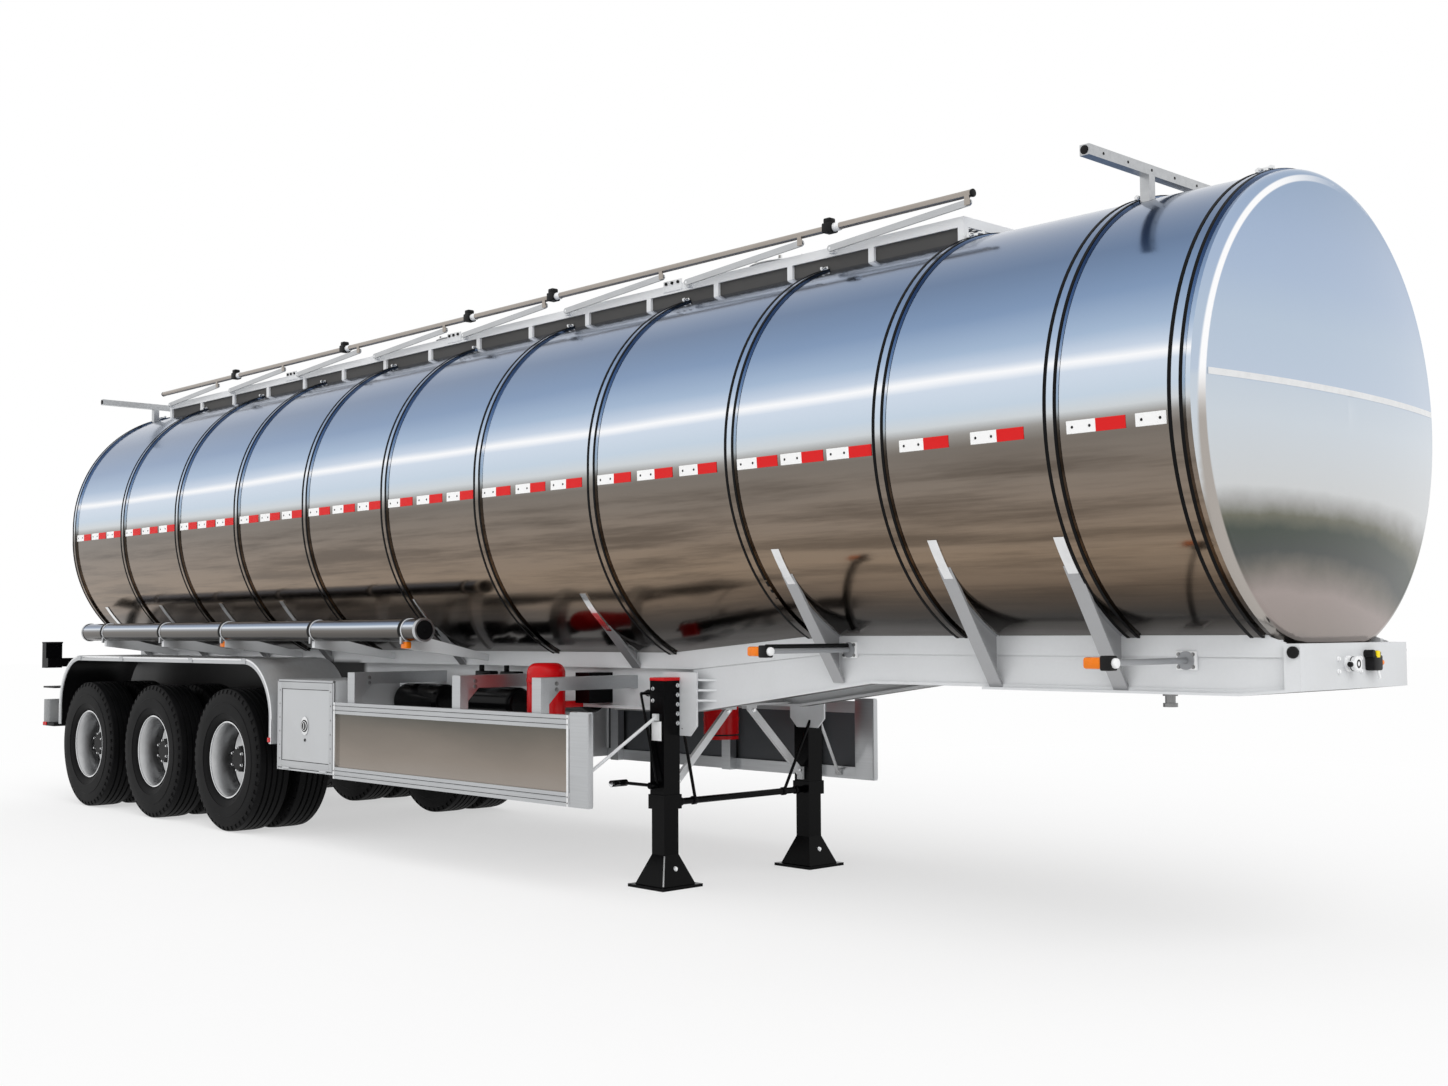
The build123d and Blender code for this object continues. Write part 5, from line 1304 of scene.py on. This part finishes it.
class TANKER_OT_fenders(bpy.types.Operator):
    """Rolled bright edge, joint plates and end reflectors of the fenders"""

    bl_idname = "tanker.fenders"
    bl_label = "Fenders"

    def execute(self, context):
        edge, joints, ends = meshes(3)
        low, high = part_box("fenders")
        top, bottom, middle = high.z, low.z, (low.x + high.x) / 2
        bend_rear, bend_front = low.x + ARCH_R, high.x - ARCH_R
        rise, wide, axle = 0.004, 0.014, 0.655
        face = HALF_WIDTH
        for side in (1, -1):
            section = [
                (side * face, ARCH_R - wide), (side * face, ARCH_R), (side * (face + rise), ARCH_R - 0.003),
                (side * (face + rise), ARCH_R - wide + 0.003),
            ]
            for x, angle in ((bend_rear, -pi / 2), (bend_front, pi / 2)):
                spun(edge, section, (x, 0, top - ARCH_R), (0, 1, 0), 16, angle=angle)
            depth = (face, face + rise)
            slab(edge, side, (bend_rear, bend_front), depth, (top - wide, top), 0.0012)
            for xs in ((low.x, low.x + wide), (high.x - wide, high.x)):
                slab(edge, side, xs, depth, (bottom, top - ARCH_R), 0.0012)
            for x in (bend_rear, middle - axle, middle + axle, bend_front):
                slab(joints, side, near(x, 0.035), (face, face + 0.006), (top - 0.038, top + 0.001), 0.0015)
                slab(joints, side, near(x, 0.022), (0.640, face), (top, top + 0.003), 0.001)
                for dx in (-0.020, 0.020):
                    rivet(joints, (x + dx, side * (face + 0.006), top - 0.018), (0, side, 0), 0.006)
            slab(
                ends, side, (high.x - 0.050, high.x - 0.016), (face, face + 0.008),
                (bottom + 0.012, bottom + 0.046), 0.003,
            )
        piece("fender_edges", edge, "lip")
        piece("fender_joints", joints, "guard")
        piece("fender_reflectors", ends, "lamp_red")
        return {"FINISHED"}


class TANKER_OT_hoses(bpy.types.Operator):
    """Hoops, end collars, dark mouths and lamps of the hose tubes"""

    bl_idname = "tanker.hoses"
    bl_label = "Hose tubes"

    def execute(self, context):
        hoops, mouths, amber = meshes(3)
        y, z, r = HOSE_Y, HOSE_Z, HOSE_R
        strap = [(-0.020, r + 0.0035), (0.012, r + 0.0035), (0.012, r + 0.0075), (-0.020, r + 0.0075)]
        collar = [
            (-0.022, r - 0.002), (-0.022, r + 0.005), (0.002, r + 0.005), (0.004, r + 0.002),
            (0.004, r - 0.010), (-0.004, r - 0.010),
        ]
        for side in (1, -1):
            for x in STRAP_X:
                spun(mouths, strap, (x, side * y, z), FORWARD, 40)
                slab(hoops, side, near(x, 0.010), (y + 0.050, y + 0.070), (z - 0.092, z - 0.040), 0.003)
            for x, way in ((HOSE[LOW].x, -1), (HOSE[HIGH].x, 1)):
                spun(hoops, collar, (x, side * y, z), (way, 0, 0), 40)
                bar(mouths, side, (x - way * 0.002, y, z), (x + way * 0.0015, y, z), r - 0.009, 36)
                bar(mouths, side, (x, y, z), (x + way * 0.010, y, z), 0.012, 16, bevel=0.002)
            for x in (STRAP_X[2] - 0.020, STRAP_X[4]):
                slab(amber, side, near(x, 0.034), (y + 0.004, y + 0.046), (z - 0.122, z - 0.076), 0.008)
        piece("hose_hoops", hoops, "guard")
        piece("hose_mouths", mouths, "strip")
        piece("hose_lamps", amber, "orange")
        return {"FINISHED"}


class TANKER_OT_rear(bpy.types.Operator):
    """Rear lamp lenses, bumper trims, end lamps and the blank plate"""

    bl_idname = "tanker.rear"
    bl_label = "Rear lamps"

    def execute(self, context):
        red, amber, clear, dark, pale = meshes(5)
        low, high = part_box("rear_bumper")
        lamp_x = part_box("tail_lamps")[LOW].x
        back, end = low.x, high.y
        dome = [(-0.002, 0.0), (-0.002, 0.030), (0.004, 0.030), (0.008, 0.022), (0.009, 0.0)]
        bezel = [(-0.002, 0.029), (-0.002, 0.034), (0.006, 0.033), (0.006, 0.030)]
        disc = [(-0.002, 0.0), (-0.002, 0.040), (0.004, 0.040), (0.007, 0.034), (0.007, 0.0)]
        for side in (1, -1):
            for bm, z in ((red, 1.385), (amber, 1.315), (clear, 1.245)):
                at = (lamp_x, side * 1.160, z)
                spun(bm, dome, at, BACKWARD, 28, closed=False)
                spun(dark, bezel, at, BACKWARD, 28)
            slab(dark, side, (lamp_x - 0.002, lamp_x + 0.096), (1.080, 1.238), (1.426, 1.440), 0.003)
            end_lamp = (low.z + 0.004, low.z + 0.034)
            for x in (back + 0.020, back + 0.062):
                slab(red, side, (x, x + 0.030), (end - 0.004, end + 0.008), end_lamp, 0.004)
            spun(red, disc, (back, side * 0.960, 0.790), BACKWARD, 28, closed=False)
        for z0, z1 in ((high.z - 0.012, high.z + 0.004), (low.z - 0.002, low.z + 0.030)):
            block(dark, (back - 0.003, -end + 0.001, z0), (high.x + 0.002, end - 0.001, z1), 0.004)
        block(pale, (back - 0.004, -0.260, 0.735), (back + 0.001, 0.260, 0.847), 0.001)
        for y in (-0.235, 0.235):
            for z in (0.752, 0.830):
                rivet(dark, (back - 0.004, y, z), BACKWARD, 0.006)
        piece("rear_red", red, "lamp_red")
        piece("rear_amber", amber, "orange")
        piece("rear_clear", clear, "clear")
        piece("rear_trim", dark, "dark")
        piece("rear_plate", pale, "white")
        return {"FINISHED"}


class TANKER_OT_roof(bpy.types.Operator):
    """Rail clamps and plugs, bar holes, walkway skirt, hatch rims, handles and bolts"""

    bl_idname = "tanker.roof"
    bl_label = "Roof fittings"

    def execute(self, context):
        self.rail()
        self.bars()
        # side plates under the walkway, their dark grey partly painted shade of the gap
        skirt = bmesh.new()
        low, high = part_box("walkway_deck")
        outer = 0.362
        shell = TANK_Z + sqrt(TANK_R**2 - outer**2)
        for side in (1, -1):
            slab(skirt, side, (low.x, high.x), (outer - 0.004, outer), (shell - 0.004, low.z + 0.002))
        piece("walkway_skirt_shaded", skirt, "shade", smooth=False)
        self.hatches()
        return {"FINISHED"}

    @staticmethod
    def rail():
        """Clamps, sleeves and end plugs that ride on the handrail."""
        low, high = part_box("handrail")
        y, z = -0.420, 3.758
        clamps, sleeves = meshes(2)
        for x in (3.208, 0.672, -0.311, -2.037, -3.875):
            block(clamps, (x - 0.036, y - 0.034, z - 0.027), (x + 0.036, y + 0.034, z + 0.030), 0.009)
            block(clamps, (x - 0.030, y - 0.026, z + 0.026), (x + 0.022, y + 0.026, z + 0.058), 0.009)
            rod(sleeves, (x + 0.034, y, z), (x + 0.080, y, z), 0.0245, bevel=0.002)
        for x, way in ((low.x, -1), (high.x, 1)):
            rod(clamps, (x - way * 0.010, y, z), (x + way * 0.004, y, z), 0.0215, bevel=0.003)
        piece("rail_clamps", clamps, "dark", "rail")
        piece("rail_sleeves", sleeves, "white", "rail")

    @staticmethod
    def bars():
        """Holes along the cross bars and plugs in their ends."""
        holes, plugs = meshes(2)
        low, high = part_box("top_bars")
        half, level = high.y, high.z - 0.025
        for x, way in ((low.x, -1), (high.x, 1)):
            # painted shade: each hole is a dark disc standing for the shade inside the bar
            for k in range(9):
                y = -0.800 + 0.200 * k
                rod(holes, (x - way * 0.002, y, level), (x + way * 0.001, y, level), 0.007, 14)
            middle = x - way * 0.025
            for side in (1, -1):
                ends = ((middle, half - 0.006, level), (middle, half + 0.004, level))
                bar(plugs, side, *ends, 0.021, bevel=0.003)
        piece("bar_holes", holes, "dark")
        piece("bar_plugs", plugs, "dark")

    @staticmethod
    def hatches():
        """Lid bolts, seals and handles that ride on the lids; rims and switch plates on the walkway."""
        rims, knobs = meshes(2)
        flat, curb = 3.722, -0.380
        seal = [(-0.004, 0.288), (0.004, 0.288), (0.006, 0.296), (0.0, 0.299), (-0.006, 0.296)]
        rim = [
            (0.0, HATCH_R + 0.001), (0.0, HATCH_R + 0.028), (0.006, HATCH_R + 0.028),
            (0.010, HATCH_R + 0.008), (0.012, HATCH_R + 0.001),
        ]
        for i, x in enumerate(HATCH_X, start=1):
            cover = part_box(f"manhole_lid_{i}")[HIGH].z
            grip_x, grip_z = x + 0.120, cover + 0.022
            fittings = bmesh.new()
            for k in range(8):
                a = FULL_TURN * (k + 0.5) / 8
                bolt(fittings, (x + 0.262 * cos(a), 0.262 * sin(a), flat - 0.020), UP, 0.013, 0.030)
            spun(fittings, seal, (x, 0, flat - 0.022), UP, 56)
            for side in (1, -1):
                bar(fittings, side, (grip_x, 0.070, cover - 0.010), (grip_x, 0.070, grip_z), 0.007, 12)
            rod(fittings, (grip_x, -0.080, grip_z), (grip_x, 0.080, grip_z), 0.008, 14, bevel=0.002)
            piece(f"lid_fittings_{i}", fittings, "lip", f"lid_{i}")
            spun(rims, rim, (x, 0, 3.619), UP, 56)
        for x in (-2.960, -0.560, 1.840):
            block(rims, (x - 0.085, curb - 0.006, 3.622), (x + 0.085, curb, 3.690), 0.002)
            for dx in (-0.055, 0.0, 0.055):
                start, end = ((x + dx, curb - out, 3.672) for out in (0.004, 0.016))
                rod(knobs, start, end, 0.010, 14, bevel=0.002)
        piece("hatch_rims", rims, "white")
        piece("roof_knobs", knobs, "dark")


class TANKER_OT_bottles(bpy.types.Operator):
    """Straps with their buckles, and dark foot rings of the red cylinders"""

    bl_idname = "tanker.bottles"
    bl_label = "Red cylinders"

    def execute(self, context):
        straps, rings = meshes(2)
        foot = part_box("extinguishers")[LOW].z + 0.030
        x, y, r = 1.044, 0.760, 0.122
        strap = [(-0.014, r - 0.001), (0.014, r - 0.001), (0.014, r + 0.003), (-0.014, r + 0.003)]
        ring = [(-0.006, r - 0.001), (0.006, r - 0.001), (0.004, r + 0.0025), (-0.004, r + 0.0025)]
        for side in (1, -1):
            for z in (0.900, 1.205):
                spun(straps, strap, (x, side * y, z), UP, 48)
                depth = (y + r - 0.002, y + r + 0.010)
                slab(straps, side, near(x, 0.016), depth, near(z, 0.018), 0.003)
            spun(rings, ring, (x, side * y, foot), UP, 48)
        piece("bottle_straps", straps, "red")
        piece("bottle_rings", rings, "dark")
        return {"FINISHED"}


class TANKER_OT_cradles(bpy.types.Operator):
    """Bright pad strips where the cradles meet the tank"""

    bl_idname = "tanker.cradles"
    bl_label = "Cradle pads"

    def execute(self, context):
        bm = bmesh.new()
        width, thick, steps, foot, past = 0.056, 0.010, 12, 25, 3
        for x, tip in CRADLES:
            for side in (1, -1):
                rises = [foot + (tip + past - foot) * k / steps for k in range(steps + 1)]
                places = [tank_point(x, side * (180 - rise), 0.001) for rise in rises]
                for start, end in zip(places, places[1:]):
                    middle, run = (start + end) / 2, end - start
                    turn = Matrix.Rotation(atan2(run.z, run.y), 4, "X")
                    size = Vector((width / 2, run.length / 2 + 0.001, thick / 2))
                    block(bm, middle - size, middle + size, turn=turn)
        piece("cradle_pads", bm, "lip", smooth=False)
        return {"FINISHED"}


class TANKER_PT_sidebar(bpy.types.Panel):
    """Lists the trailer's operators"""

    bl_idname = "TANKER_PT_sidebar"
    bl_label = "Tanker"
    bl_space_type = "VIEW_3D"
    bl_region_type = "UI"
    bl_category = "Tanker"

    def draw(self, context):
        for operator in OPERATORS:
            self.layout.operator(operator.bl_idname)


OPERATORS = (
    TANKER_OT_finishes, TANKER_OT_stage, TANKER_OT_bands, TANKER_OT_tape, TANKER_OT_seam, TANKER_OT_tyres,
    TANKER_OT_wheels, TANKER_OT_deck, TANKER_OT_legs, TANKER_OT_nose, TANKER_OT_markers,
    TANKER_OT_toolboxes, TANKER_OT_guards, TANKER_OT_fenders, TANKER_OT_hoses, TANKER_OT_rear,
    TANKER_OT_roof, TANKER_OT_bottles, TANKER_OT_cradles,
)
CLASSES = (TankerTrim, *OPERATORS, TANKER_PT_sidebar)


def register():
    for cls in CLASSES:
        bpy.utils.register_class(cls)
    bpy.types.Scene.tanker_trim = PointerProperty(type=TankerTrim)


def unregister():
    del bpy.types.Scene.tanker_trim
    for cls in reversed(CLASSES):
        bpy.utils.unregister_class(cls)


def main():
    register()
    for operator in OPERATORS:
        group, name = operator.bl_idname.split(".")
        getattr(getattr(bpy.ops, group), name)()


if __name__ == "__main__":
    main()
